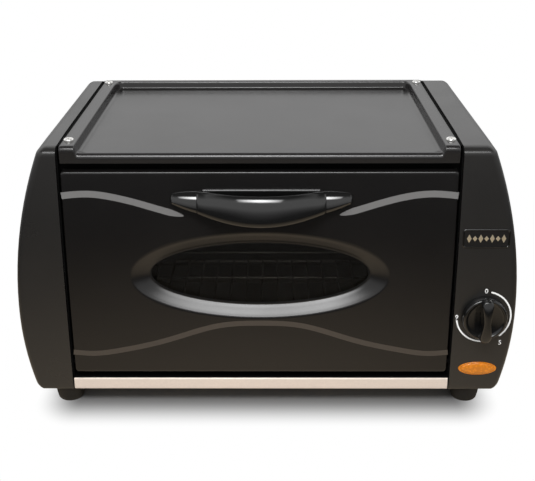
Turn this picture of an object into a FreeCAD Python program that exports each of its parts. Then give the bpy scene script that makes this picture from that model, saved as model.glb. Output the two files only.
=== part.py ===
"""Countertop electric tandoor: every piece is its own solid, written to parts/NODE.step.

Millimetres. +X is to the right, -Y is the front, +Z is up. While it is modelled, y = 0 is the front top
edge of the body and z = 0 is the table. At the end all pieces are moved together, so that the origin
lies in the middle of the object's underside.
"""
import FreeCAD, Part
import math
import os

V = FreeCAD.Vector
X_AXIS = V(1, 0, 0)
Y_AXIS = V(0, 1, 0)
Z_AXIS = V(0, 0, 1)

# ------------------------------------------------------------------ body
BODY_WIDTH = 500.0          # over both side panels, at their widest
TOP_FALL = 33.0             # how much each side draws in towards the top
BOTTOM_FALL = 18.0          # how much each side draws in towards the bottom
PANEL_TOP_WIDTH = BODY_WIDTH - 2 * TOP_FALL
PANEL_BOTTOM_WIDTH = BODY_WIDTH - 2 * BOTTOM_FALL
BODY_TOP = 273.0            # height of the top face over the table
FOOT_HEIGHT = 20.0
BULGE_RISE = 85.0           # from the body's underside to where the side panels bulge most
WIDEST_HEIGHT = FOOT_HEIGHT + BULGE_RISE
BODY_DEPTH = 258.0          # from the front top edge to the rear faces
FRONT_RUN = 29.2            # the front's bottom edge stands this far ahead of its top edge
FRONT_RADIUS = 2530.0       # the front is very slightly crowned
SIDE_STRIP = 56.0           # mean width of the side panels' fronts
SLOT_WIDTH = BODY_WIDTH - 2 * SIDE_STRIP
SLOT_OFFSET = -6.5          # the slot's middle is left of the body's middle
PANEL_WALL = 2.5
PANEL_ROUND = 7.0
PANEL_ACROSS = 40.0         # edges of the panel's open side longer than its top less this are rounded
SHEET = 1.0                 # steel sheet of the chassis
EDGE_GAP = 0.3              # clearance between pieces that are seated but not pressed together
BORE_GAP = 0.05             # radial clearance of running fits and of screws in their holes
SLOT_LEFT = SLOT_OFFSET - SLOT_WIDTH / 2
SLOT_RIGHT = SLOT_OFFSET + SLOT_WIDTH / 2
WALL_LEFT = SLOT_LEFT + SHEET
WALL_RIGHT = SLOT_RIGHT - SHEET

# ------------------------------------------------------------------ screws
SCREW_RADIUS = 2.0
SCREW_HEAD = 3.6
HEAD_HEIGHT = 2.2
TOP_HEAD = 5.0
PLATE_SCREW_LENGTH = 9.0
COVER_SCREW_LENGTH = 6.0
STOP_SCREW_LENGTH = 4.0
BOSS_RADIUS = 4.5
BOSS_DEPTH = 12.0
BOSS_DROP = 12.0            # the bosses sit this far below the top
BOSS_HEIGHT = BODY_TOP - BOSS_DROP
BOSS_FRONT = 70.0
BOSS_REAR_INSET = 58.0
BOSS_PLACES = (BOSS_FRONT, BODY_DEPTH - BOSS_REAR_INSET)

# ------------------------------------------------------------------ door
DOOR_SIDE_GAP = 3.5
DOOR_WIDTH = SLOT_WIDTH - 2 * DOOR_SIDE_GAP
DOOR_TOP_GAP = 22.5         # from the body's top to the door's top edge
DOOR_BOTTOM_GAP = 19.3      # from the body's underside to the door's bottom edge
DOOR_TOP = BODY_TOP - DOOR_TOP_GAP
DOOR_BOTTOM = FOOT_HEIGHT + DOOR_BOTTOM_GAP
DOOR_HEIGHT = DOOR_TOP - DOOR_BOTTOM
DOOR_MIDDLE = (DOOR_TOP + DOOR_BOTTOM) / 2
DOOR_DEPTH = 16.5
DOOR_SKIN = 1.2
DOOR_EDGE_ROUND = 2.0
INNER_PANEL = 1.0
INNER_HOLE_MARGIN = 4.0     # the inner sheet's hole is wider than the window by this, each side
WINDOW_MARGIN = 81.5        # from the window to the door's side edges
WINDOW_SEMI_X = DOOR_WIDTH / 2 - WINDOW_MARGIN
WINDOW_SEMI_Z = 32.0
DISH_WIDTH_X = 17.0         # how much wider than the window the dished rim is, each side
DISH_WIDTH_Z = 11.4
DISH_DEPTH = 8.0
DISH_LEDGE = 3.5
LEDGE_SEMI_X = WINDOW_SEMI_X + DISH_LEDGE
LEDGE_SEMI_Z = WINDOW_SEMI_Z + DISH_LEDGE
GASKET = 1.2
GASKET_MARGIN = 7.0         # how far the gasket reaches past the window, each side
GASKET_LIP = 0.6            # how far it shows inside the window
GLASS_THICKNESS = 4.0
GLASS_MARGIN = 14.0         # how far the glass reaches past the window, each side
GLASS_CORNER = 12.0
CLIP_HALF = 10.0
CLIP_HALF_TALL = 4.0
CLIP_INSET = 5.0            # the clips' middle is this far inside the glass's edge

# ------------------------------------------------------------------ hinge and stops
HINGE_DEPTH = 10.0          # hinge axis behind the door's face
HINGE_RISE = 9.0            # hinge axis above the door's bottom edge
HINGE_PIN_RADIUS = 2.5
HINGE_PIN_LENGTH = 13.0
PIN_HEAD_RADIUS = 4.2
PIN_HEAD_HEIGHT = 1.6
BUSH_RADIUS = 4.0
BUSH_FLANGE = 5.3
BUSH_FLANGE_THICKNESS = 2.0
BUSH_LENGTH = 8.0
DOOR_SWING = 90.0
STOP_HALF = 9.0
STOP_INSET = 15.0
STOP_GAP = 0.6
STOP_SHEET = 1.5
STOP_FOOT = 15.0            # how far the stops' feet reach back
STOP_SCREW_BACK = 9.0       # the stop's screw behind its upright
STOP_DROP = 1.0             # the upright ends this far below the hinge axis
NOTCH_MARGIN = 1.5          # clearance of the door's notches round the stops
NOTCH_HEIGHT = 4.0

# ------------------------------------------------------------------ handle
HANDLE_TOP_GAP = 28.5       # from the door's top edge to the handle's middle
HANDLE_HEIGHT = DOOR_TOP - HANDLE_TOP_GAP
HANDLE_HALF = 89.0
HANDLE_BOW_HALF = 62.0
HANDLE_TOP = 13.0           # top edge above the handle's middle
HANDLE_DROP = 13.0          # lowest edge below the handle's middle
HANDLE_WING_DROP = 5.0
HANDLE_WING_FALL = 7.5
HANDLE_WING_REACH = 9.5
HANDLE_REACH = 31.0
HANDLE_BACK_PLATE = 3.5
HANDLE_TOP_SAG = 1.0        # the bow's top edge falls by this towards its ends
FINGER_GAP = 18.0
FINGER_HALF = 54.0
HANDLE_SCREW_X = 72.0
HANDLE_SCREW_DEPTH = 6.5

# ------------------------------------------------------------------ top plate
PLATE_SIDE_GAP = 3.5
PLATE_REAR_GAP = 1.5
PLATE_WIDTH = SLOT_WIDTH - 2 * PLATE_SIDE_GAP
PLATE_DEPTH = BODY_DEPTH - PLATE_REAR_GAP
PLATE_THICKNESS = 1.2
PLATE_LIP = 16.5
TRAY_RIM = 13.5
TRAY_DEPTH = 8.5
TRAY_SLOPE = 4.5
TRAY_FRONT = 7.0
TRAY_REAR_RIM = 7.5
TRAY_CORNER = 9.0
TRAY_BEAD = 2.0
BEAD_ROUND = 3.0
PLATE_ROUND = 5.0
PLATE_SCREW_INSET = 6.0
PLATE_SCREW_FRONT = 20.0
PLATE_SCREW_REAR_INSET = 14.5
PLATE_SCREW_REAR = PLATE_DEPTH - PLATE_SCREW_REAR_INSET

# ------------------------------------------------------------------ controls
CONTROL_INSET = 33.0        # knob axis inside the body's widest side
CONTROL_X = BODY_WIDTH / 2 - CONTROL_INSET
KNOB_RISE = 81.8            # knob axis above the body's underside
KNOB_HEIGHT = FOOT_HEIGHT + KNOB_RISE
KNOB_RADIUS = 22.5
KNOB_SKIRT = 9.0
KNOB_GRIP = 19.0
KNOB_GRIP_WIDTH = 12.0
KNOB_LIFT = 0.6
SHAFT_RADIUS = 3.0
SHAFT_OUT = 14.0
SHAFT_IN = 16.0
KNOB_TURN = 270.0
LAMP_OFFSET = 1.7           # the lens is left of the knob axis
LAMP_X = CONTROL_X - LAMP_OFFSET
LAMP_RISE = 24.4
LAMP_HEIGHT = FOOT_HEIGHT + LAMP_RISE
LAMP_SEMI_X = 19.5
LAMP_SEMI_Z = 8.1
LENS_BEZEL = 1.2
LENS_BODY = 5.5
LAMP_TAG_X = 2.6
BADGE_OFFSET = 3.2          # the badge is left of the knob axis
BADGE_X = CONTROL_X - BADGE_OFFSET
BADGE_DROP = 89.3           # the badge's middle below the body's top
BADGE_HEIGHT = BODY_TOP - BADGE_DROP
BADGE_WIDTH = 46.0
BADGE_TALL = 19.0
BADGE_THICKNESS = 1.8
BADGE_POCKET = 0.8
BADGE_CORNER = 3.0
BADGE_RIM = 1.4
THERMOSTAT_SCREW_Z = 13.0
THERMOSTAT_HALF_X = 17.0
THERMOSTAT_HALF_Z = 19.0
THERMOSTAT_DEPTH = 24.0
BODY_BACK = 4.5
CROWN_GAP = 0.12            # clears the panel's crown behind the flat bracket
LAMP_COLLAR = 5.0
LAMP_BULB_RADIUS = 5.0
LAMP_BULB_END = 20.0
LAMP_TAG_START = 19.0
LAMP_TAG_END = 27.0
LAMP_TAG_HALF = 0.4
LAMP_TAG_TALL = 2.4
TAG_X = (-8.0, 0.0, 8.0)
TAG_Z = -12.0
TAG_LENGTH = 8.0

# ------------------------------------------------------------------ oven cavity and chassis
CAVITY_FLOOR_RISE = 22.0    # above the body's underside
CAVITY_ROOF_DROP = 21.0     # below the body's top
CAVITY_FLOOR = FOOT_HEIGHT + CAVITY_FLOOR_RISE
CAVITY_ROOF = BODY_TOP - CAVITY_ROOF_DROP
CAVITY_REAR_SPACE = 43.0    # between the cavity's rear wall and the rear cover
CAVITY_DEPTH = BODY_DEPTH - CAVITY_REAR_SPACE
FRAME_BORDER = 12.0
FRAME_GAP = 0.8
FLOOR_LIP = 12.0
FLOOR_SETBACK = 6.0         # the floor's front edge behind the door's hinge side
FLOOR_LEG_INSET = 2.0
TOP_FLANGE = 14.0
SIDE_FLANGE_START = 8.0
REAR_FLANGE = 12.0
BOTTOM_FLANGE = 29.0
FLANGE_PAST_FRONT_FOOT = 10.0
FLANGE_PAST_REAR_FOOT = 12.0
WALL_FRONT_INSET = 4.0
REAR_PLANE = BODY_DEPTH - SHEET
REAR_SCREW_LOW = FOOT_HEIGHT + 2 * FOOT_HEIGHT
REAR_SCREW_DROP = 33.0
REAR_SCREW_HIGH = BODY_TOP - REAR_SCREW_DROP
REAR_SCREW_HEIGHTS = (REAR_SCREW_LOW, (REAR_SCREW_LOW + REAR_SCREW_HIGH) / 2, REAR_SCREW_HIGH)
PAN_SIDE_START = 30.0       # the base pan's upturned sides start this far behind its front
PAN_SIDE_HEIGHT = 10.0
STOP_PASS = 30.0            # width of the floor leg's cut-outs for the door stops
RAIL_HEIGHT = 12.0
RAIL_INSET = 0.5
RAIL_SHELF = 14.0
VENT_ROWS = 5
VENT_COLUMNS = 8
VENT_DROP = 105.0           # the lowest row below the body's top
VENT_BOTTOM = BODY_TOP - VENT_DROP
VENT_STEP_Z = 12.0
VENT_STEP_X = 40.0
VENT_LENGTH = 28.0
VENT_HALF = 2.0

# ------------------------------------------------------------------ heaters and rack
RACK_RISE = 20.0            # rack above the cavity's floor
RACK_HEIGHT = CAVITY_FLOOR + RACK_RISE
RACK_FRONT = 4.0
RACK_REAR_SPACE = 28.0
RACK_REAR = CAVITY_DEPTH - RACK_REAR_SPACE
RACK_PITCH = 18.0
RACK_WIRE = 1.3
RACK_FRAME_WIRE = 2.0
RACK_SIDE_GAP = 3.0
RACK_CORNER = 12.0
RACK_CROSS_INSETS = (45.0, 112.0)
RACK_CROSS = tuple(RACK_REAR - inset for inset in RACK_CROSS_INSETS)
RACK_STOP_RISE = 12.0
RUNNER_WIDTH = 12.0
RUNNER_LEG = 4.0
RUNNER_LEAD = 2.0           # the runners start this far ahead of the rack
HEATER_RADIUS = 3.5
HEATER_BEND = 22.0
HEATER_ROOF_GAP = 16.0
HEATER_FLOOR_GAP = 8.5
UPPER_HEATER_HEIGHT = CAVITY_ROOF - HEATER_ROOF_GAP
LOWER_HEATER_HEIGHT = CAVITY_FLOOR + HEATER_FLOOR_GAP
HEATER_FRONT = 48.0
HEATER_REAR_SPACE = 57.0
HEATER_REAR = CAVITY_DEPTH - HEATER_REAR_SPACE
HEATER_END = 16.0           # from the heater's far bend to the left end wall
HEATER_TAIL = 14.0          # cold end beyond the right end wall
STUD_RADIUS = 1.6
STUD_LENGTH = 9.0
INSULATOR_RADIUS = 5.0
INSULATOR_FLANGE = 8.0
INSULATOR_LENGTH = 12.0
INSULATOR_LEAD = 3.0        # how far it stands into the cavity
INSULATOR_FLANGE_THICKNESS = 3.0
SUPPORT_SHEET = 1.2
SUPPORT_FOOT_HALF = 12.0
SUPPORT_FOOT_DOWN = 5.0
SUPPORT_FOOT_UP = 6.0
SUPPORT_TONGUE_HALF = 6.0
SUPPORT_TONGUE_PAST = 3.0

# ------------------------------------------------------------------ feet
FOOT_RADIUS = 16.0
FOOT_TIP_RADIUS = 13.5
FOOT_TIP_ROUND = 3.0
FOOT_INSET = 41.5           # foot's middle inside the body's widest side
FOOT_X = BODY_WIDTH / 2 - FOOT_INSET
FOOT_FRONT = -9.5
FOOT_REAR_INSET = 22.0
FOOT_REAR = BODY_DEPTH - FOOT_REAR_INSET
FOOT_RECESS = 8.0
FOOT_RECESS_MARGIN = 1.4
FOOT_PLACES = {
    "foot_front_left": (-1, FOOT_FRONT),
    "foot_front_right": (1, FOOT_FRONT),
    "foot_rear_left": (-1, FOOT_REAR),
    "foot_rear_right": (1, FOOT_REAR),
}
NUT_HEIGHT = 3.2
NUT_RADIUS = 4.0

# ------------------------------------------------------------------ thermostat bulb, inlet and wiring
PROBE_Y = 96.0
PROBE_DROP = 38.0           # bulb below the cavity's roof
PROBE_HEIGHT = CAVITY_ROOF - PROBE_DROP
PROBE_RADIUS = 3.0
PROBE_LEAD = 16.0           # the bulb starts this far behind the capillary's entry
PROBE_LENGTH = 74.0
PROBE_FROM_WALL = 9.0
CLIP_PLACES = (28.0, 72.0)  # the bulb's clips behind the capillary's entry
CLIP_WIDTH = 6.0
CLIP_WALL = 1.1
CLIP_SHEET = 0.6
CLIP_PAD = 0.8
CLIP_PAD_DOWN = 8.0
CLIP_PAD_UP = 4.0
CAPILLARY_RADIUS = 0.8
CAPILLARY_OFFSET = 9.0
CAPILLARY_X = CONTROL_X + CAPILLARY_OFFSET
CAPILLARY_BEND = 7.0
INLET_RADIUS = 4.0
INLET_OFFSET = 3.0          # the inlet is left of the knob axis
INLET_X = CONTROL_X - INLET_OFFSET
INLET_RISE = 42.0
INLET_HEIGHT = FOOT_HEIGHT + INLET_RISE
INLET_WALL = 3.0
INLET_FLANGE = 2.5
INLET_OUTSIDE = 3.0
INLET_INSIDE = 4.0
BLOCK_OFFSET = 8.5          # the terminal block is left of the feet
BLOCK_X = FOOT_X - BLOCK_OFFSET
BLOCK_REAR_INSET = 62.0
BLOCK_Y = BODY_DEPTH - BLOCK_REAR_INSET
BLOCK_HALF_X = 9.0
BLOCK_HALF_Y = 17.0
BLOCK_TALL = 14.0
BLOCK_PITCH = 11.0
BLOCK_POLE = 6.0            # height of the poles in the block
EARTH_REAR_INSET = 26.0
EARTH_Y = BODY_DEPTH - EARTH_REAR_INSET
EARTH_RISE = 72.0
EARTH_HEIGHT = FOOT_HEIGHT + EARTH_RISE
WASHER_RADIUS = 5.0
CUTOUT_Y = 70.0
CUTOUT_RISE = 130.0
CUTOUT_HEIGHT = FOOT_HEIGHT + CUTOUT_RISE
CUTOUT_RADIUS = 7.8
CUTOUT_FLANGE = 10.0
CUTOUT_TALL = 9.0
CUTOUT_TAG = 16.0
WIRE_RADIUS = 1.3
WIRE_BEND = 5.0
WIRE_RUN = 16.0             # how far the wires stand off the end wall where they climb
WIRE_OUTER_RUN = 24.0
WIRE_NEAR = 6.5             # the inner wires run this far outside the outer run
WIRE_FAR = 16.5
WIRE_BACK = 24.0            # how far the thermostat's wires run back before they climb
WIRE_TOP_RUN = 40.0
WIRE_DROP = 22.0
WIRE_LAMP_RUN = 13.0
WIRE_LAMP_DROP = 26.0
WIRE_CLIMB = 5.0

# ------------------------------------------------------------------ the front's arc
CHORD = math.hypot(FRONT_RUN, BODY_TOP - FOOT_HEIGHT)
CHORD_LEAN = math.atan2(FRONT_RUN, BODY_TOP - FOOT_HEIGHT)
ARC_ARM = math.sqrt(FRONT_RADIUS ** 2 - (CHORD / 2) ** 2)
FRONT_CY = -FRONT_RUN / 2 + ARC_ARM * math.cos(CHORD_LEAN)
FRONT_CZ = (BODY_TOP + FOOT_HEIGHT) / 2 - ARC_ARM * math.sin(CHORD_LEAN)
FAR = 4 * BODY_WIDTH        # longer than anything here, for cutting tools


# ------------------------------------------------------------------ plain shapes
def box(x0, x1, y0, y1, z0, z1):
    """Block between two corners."""
    return Part.makeBox(x1 - x0, y1 - y0, z1 - z0, V(x0, y0, z0))


def rod(start, end, radius):
    """Round bar between two points."""
    run = end - start
    return Part.makeCylinder(radius, run.Length, start, run)


def ring(start, end, outer, inner):
    """Round tube between two points."""
    return rod(start, end, outer).cut(rod(start, end, inner))


def fuse(shapes):
    """One solid from overlapping ones."""
    whole = shapes[0].multiFuse(shapes[1:]) if len(shapes) > 1 else shapes[0]
    return whole.removeSplitter()


def group(shapes):
    """Several separate solids as one node."""
    return Part.makeCompound(shapes)


def mirrored(shape):
    """The same shape on the other side of the body's middle plane."""
    return shape.mirror(V(0, 0, 0), X_AXIS)


def shifted(shape, x=0.0, y=0.0, z=0.0):
    """A moved copy."""
    moved = shape.copy()
    moved.translate(V(x, y, z))
    return moved


def outward(shape):
    """Turns a shape that was built standing up on z = 0 so that it stands out of the front, towards -Y."""
    turned = shape.copy()
    turned.rotate(V(0, 0, 0), X_AXIS, 90)
    return turned


def ellipse_prism(semi_x, semi_z, y0, y1):
    """Oval bar along Y."""
    edge = Part.Ellipse(V(0, 0, 0), semi_x, semi_z).toShape()
    edge.rotate(V(0, 0, 0), X_AXIS, 90)
    edge.translate(V(0, y0, 0))
    return Part.Face(Part.Wire([edge])).extrude(V(0, y1 - y0, 0))


def ellipse_taper(first, second, y0, y1):
    """Oval funnel along Y, from (semi_x, semi_z) first at y0 to second at y1."""
    wires = []
    for semi, y in ((first, y0), (second, y1)):
        edge = Part.Ellipse(V(0, 0, 0), semi[0], semi[1]).toShape()
        edge.rotate(V(0, 0, 0), X_AXIS, 90)
        edge.translate(V(0, y, 0))
        wires.append(Part.Wire([edge]))
    return Part.makeLoft(wires, True, True)


def rounded_rectangle(x0, x1, y0, y1, corner, z):
    """Flat wire with four round corners."""
    k = corner * (1 - math.sqrt(0.5))
    arcs = [
        (V(x0, y0 + corner, z), V(x0 + k, y0 + k, z), V(x0 + corner, y0, z)),
        (V(x1 - corner, y0, z), V(x1 - k, y0 + k, z), V(x1, y0 + corner, z)),
        (V(x1, y1 - corner, z), V(x1 - k, y1 - k, z), V(x1 - corner, y1, z)),
        (V(x0 + corner, y1, z), V(x0 + k, y1 - k, z), V(x0, y1 - corner, z)),
    ]
    edges = []
    for i, points in enumerate(arcs):
        edges.append(Part.Arc(*points).toShape())
        following = arcs[(i + 1) % len(arcs)][0]
        edges.append(Part.LineSegment(points[2], following).toShape())
    return Part.Wire(edges)


def rounded_block(x0, x1, y0, y1, corner, z0, z1):
    """Block with round upright edges."""
    return Part.Face(rounded_rectangle(x0, x1, y0, y1, corner, z0)).extrude(V(0, 0, z1 - z0))


def rounded_path(points, bend):
    """Straight runs joined by tangent arcs of one bend radius."""
    edges = []
    start = points[0]
    for before, corner, after in zip(points, points[1:], points[2:]):
        a = (before - corner).normalize()
        b = (after - corner).normalize()
        half = a.getAngle(b) / 2
        reach = bend / math.tan(half)
        first = corner + a * reach
        last = corner + b * reach
        middle_way = (a + b).normalize()
        middle = corner + middle_way * (bend / math.sin(half) - bend)
        edges.append(Part.LineSegment(start, first).toShape())
        edges.append(Part.Arc(first, middle, last).toShape())
        start = last
    edges.append(Part.LineSegment(start, points[-1]).toShape())
    return Part.Wire(edges)


def tube(points, bend, radius):
    """Bent round bar along straight runs and arcs."""
    path = rounded_path([V(*p) for p in points], bend)
    run = V(*points[1]) - V(*points[0])
    circle = Part.Wire([Part.Circle(V(*points[0]), run, radius).toShape()])
    return path.makePipeShell([circle], True, True)


def pan_screw(length, head_radius=SCREW_HEAD, head_height=HEAD_HEIGHT):
    """Pan head screw that points down from z = 0, with its cross recess."""
    head = Part.makeCylinder(head_radius, head_height)
    rim = [e for e in head.Edges if e.BoundBox.ZMin > head_height / 2 and e.Closed]
    head = head.makeFillet(head_height * 0.7, rim[:1])
    shank = Part.makeCylinder(SCREW_RADIUS, length, V(0, 0, -length))
    cross_half = head_radius * 0.45
    cross_wide = head_radius * 0.11
    cross = box(-cross_half, cross_half, -cross_wide, cross_wide, head_height * 0.45, head_height * 2)
    other = cross.copy()
    other.rotate(V(0, 0, 0), Z_AXIS, 90)
    return fuse([head, shank]).cut(fuse([cross, other]))


# ------------------------------------------------------------------ the leaning front
def front_y(z, inset=0.0):
    """Where the front surface lies at a height; inset moves it inwards."""
    return FRONT_CY - math.sqrt((FRONT_RADIUS - inset) ** 2 - (z - FRONT_CZ) ** 2)


def lean(z):
    """How far the front leans back at a height, in degrees."""
    return math.degrees(math.asin((z - FRONT_CZ) / FRONT_RADIUS))


def on_front(shape, x, z):
    """Places a shape, modelled in front of the plane y = 0, on the leaning front at (x, z)."""
    placed = shape.copy()
    placed.rotate(V(0, 0, 0), X_AXIS, -lean(z))
    placed.translate(V(x, front_y(z), z))
    return placed


def front_point(x, z, along, up):
    """A point given from (x, z) on the front: so far inwards along its normal, and so far up along it."""
    tilt = math.radians(lean(z))
    y = front_y(z) + along * math.cos(tilt) + up * math.sin(tilt)
    return V(x, y, z - along * math.sin(tilt) + up * math.cos(tilt))


def arc_block(x0, x1, z0, z1, centre_y, centre_z, radius, back):
    """Block along X whose front is the arc about (centre_y, centre_z) and whose back is the plane y = back."""

    def at(z):
        return V(x0, centre_y - math.sqrt(radius ** 2 - (z - centre_z) ** 2), z)

    front = Part.Arc(at(z0), at((z0 + z1) / 2), at(z1)).toShape()
    top = Part.LineSegment(at(z1), V(x0, back, z1)).toShape()
    rear = Part.LineSegment(V(x0, back, z1), V(x0, back, z0)).toShape()
    bottom = Part.LineSegment(V(x0, back, z0), at(z0)).toShape()
    return Part.Face(Part.Wire([front, top, rear, bottom])).extrude(V(x1 - x0, 0, 0))


def front_block(x0, x1, z0, z1, inset, back):
    """Block of the body whose front follows the leaning front, drawn in by inset."""
    return arc_block(x0, x1, z0, z1, FRONT_CY, FRONT_CZ, FRONT_RADIUS - inset, back)


# ------------------------------------------------------------------ side panels
def panel_form(x_inner, inset):
    """Solid form of the right side panel, drawn in by inset on each outer face but not at x_inner."""
    half = BODY_WIDTH / 2
    widths = ((PANEL_TOP_WIDTH / 2, BODY_TOP), (PANEL_BOTTOM_WIDTH / 2, FOOT_HEIGHT))
    radii = []
    for width, z in widths:
        rise = abs(z - WIDEST_HEIGHT)
        fall = half - width
        radii.append((rise ** 2 + fall ** 2) / (2 * fall))
    top = BODY_TOP - inset
    bottom = FOOT_HEIGHT + inset

    def at(radius, z):
        x = half - radius + math.sqrt((radius - inset) ** 2 - (z - WIDEST_HEIGHT) ** 2)
        return V(x, 0, z)

    upper = Part.Arc(
        at(radii[0], top), at(radii[0], (top + WIDEST_HEIGHT) / 2), at(radii[0], WIDEST_HEIGHT)
    ).toShape()
    lower = Part.Arc(
        at(radii[1], WIDEST_HEIGHT), at(radii[1], (bottom + WIDEST_HEIGHT) / 2), at(radii[1], bottom)
    ).toShape()
    edges = [
        Part.LineSegment(V(x_inner, 0, top), at(radii[0], top)).toShape(),
        upper,
        lower,
        Part.LineSegment(at(radii[1], bottom), V(x_inner, 0, bottom)).toShape(),
        Part.LineSegment(V(x_inner, 0, bottom), V(x_inner, 0, top)).toShape(),
    ]
    face = Part.Face(Part.Wire(edges))
    face.translate(V(0, -FAR / 2, 0))
    bulged = face.extrude(V(0, FAR, 0))
    side_view = front_block(x_inner - 1, half + 1, FOOT_HEIGHT - 1, BODY_TOP + 1, inset, BODY_DEPTH - inset)
    return bulged.common(side_view)


def panel_outer_edges(form, x_inner):
    """The outer edges of a panel that are rounded: not those of its open side, nor the bulge's own seam."""
    chosen = []
    for edge in form.Edges:
        limits = edge.BoundBox
        on_open_side = limits.XMin < x_inner + 0.01
        seam = abs(limits.ZMin - WIDEST_HEIGHT) < 0.01 and abs(limits.ZMax - WIDEST_HEIGHT) < 0.01
        across = limits.XLength > BODY_WIDTH / 2 - x_inner - PANEL_ACROSS and on_open_side
        if (not on_open_side or across) and not seam:
            chosen.append(edge)
    return chosen


def panel_shell(x_inner):
    """Hollow right side panel, open towards the chassis, with its two screw bosses and foot holes."""
    form = panel_form(x_inner, 0.0)
    form = form.makeFillet(PANEL_ROUND, panel_outer_edges(form, x_inner))
    hollow = panel_form(x_inner, PANEL_WALL).fuse(
        front_block(x_inner - 1, x_inner + 0.1, FOOT_HEIGHT + PANEL_WALL, BODY_TOP - PANEL_WALL,
                    PANEL_WALL, BODY_DEPTH - PANEL_WALL)
    )
    shell = form.cut(hollow)
    bosses = []
    for y in BOSS_PLACES:
        post = rod(V(x_inner, y, BOSS_HEIGHT), V(BODY_WIDTH, y, BOSS_HEIGHT), BOSS_RADIUS)
        bosses.append(post.common(panel_form(x_inner, PANEL_WALL / 2)))
    shell = fuse([shell] + bosses)
    for y in BOSS_PLACES:
        start = V(x_inner - 1, y, BOSS_HEIGHT)
        shell = shell.cut(rod(start, start + V(BOSS_DEPTH, 0, 0), SCREW_RADIUS + BORE_GAP))
    for y in (FOOT_FRONT, FOOT_REAR):
        start = V(FOOT_X, y, FOOT_HEIGHT - 1)
        shell = shell.cut(rod(start, start + V(0, 0, PANEL_WALL + 2), SCREW_RADIUS + BORE_GAP))
    return shell


def left_side_panel():
    return mirrored(panel_shell(-SLOT_LEFT))


def right_side_panel():
    """Control housing: the right panel with the openings for shaft, screws, lens, badge and cable."""
    shell = panel_shell(SLOT_RIGHT)
    depth = PANEL_WALL * 2
    shaft_hole = outward(Part.makeCylinder(SHAFT_RADIUS + 1.5, depth * 2, V(0, 0, -depth)))
    cuts = [on_front(shaft_hole, CONTROL_X, KNOB_HEIGHT)]
    for z in (-THERMOSTAT_SCREW_Z, THERMOSTAT_SCREW_Z):
        hole = outward(Part.makeCylinder(SCREW_RADIUS + BORE_GAP, depth * 2, V(0, z, -depth)))
        cuts.append(on_front(hole, CONTROL_X, KNOB_HEIGHT))
    lens_hole = ellipse_prism(LAMP_SEMI_X - LENS_BEZEL, LAMP_SEMI_Z - LENS_BEZEL, -depth, depth)
    cuts.append(on_front(lens_hole, LAMP_X, LAMP_HEIGHT))
    pocket_half_x = BADGE_WIDTH / 2 + EDGE_GAP
    pocket_half_z = BADGE_TALL / 2 + EDGE_GAP
    pocket = rounded_block(-pocket_half_x, pocket_half_x, -pocket_half_z, pocket_half_z,
                           BADGE_CORNER + EDGE_GAP, -BADGE_POCKET, depth)
    cuts.append(on_front(outward(pocket), BADGE_X, BADGE_HEIGHT))
    inlet = rod(V(INLET_X, BODY_DEPTH - depth, INLET_HEIGHT), V(INLET_X, BODY_DEPTH + depth, INLET_HEIGHT),
                INLET_RADIUS + INLET_WALL)
    cuts.append(inlet)
    for cut in cuts:
        shell = shell.cut(cut)
    return shell


# ------------------------------------------------------------------ top plate
def plate_screw_places():
    """(x, y) of the four top screws."""
    half = PLATE_WIDTH / 2 - PLATE_SCREW_INSET
    return [(SLOT_OFFSET + s * half, y) for s in (-1, 1) for y in (PLATE_SCREW_FRONT, PLATE_SCREW_REAR)]


def tray_pocket(grow):
    """The tray's hollow with sloping sides; grow makes it wider all round and deeper."""
    half = PLATE_WIDTH / 2 - TRAY_RIM + grow
    front = TRAY_FRONT - TRAY_SLOPE - grow
    back = PLATE_DEPTH - TRAY_REAR_RIM + grow
    corner = TRAY_CORNER + grow
    floor = BODY_TOP - TRAY_DEPTH - grow
    x0 = SLOT_OFFSET - half
    x1 = SLOT_OFFSET + half
    above = 0.5
    spread = TRAY_SLOPE / TRAY_DEPTH * above
    top = rounded_rectangle(x0 - spread, x1 + spread, front - spread, back + spread, corner, BODY_TOP + above)
    bottom = rounded_rectangle(x0 + TRAY_SLOPE, x1 - TRAY_SLOPE, front + TRAY_SLOPE, back - TRAY_SLOPE,
                               corner, floor)
    return Part.makeLoft([top, bottom], True, True)


def front_edges(shape, y, z):
    """The long edges along X at a given depth and height."""
    return [e for e in shape.Edges
            if e.BoundBox.XLength > PLATE_WIDTH / 2 and abs(e.BoundBox.YMin - y) < 0.01
            and abs(e.BoundBox.YMax - y) < 0.01 and abs(e.BoundBox.ZMax - z) < 0.01
            and abs(e.BoundBox.ZMin - z) < 0.01]


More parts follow.
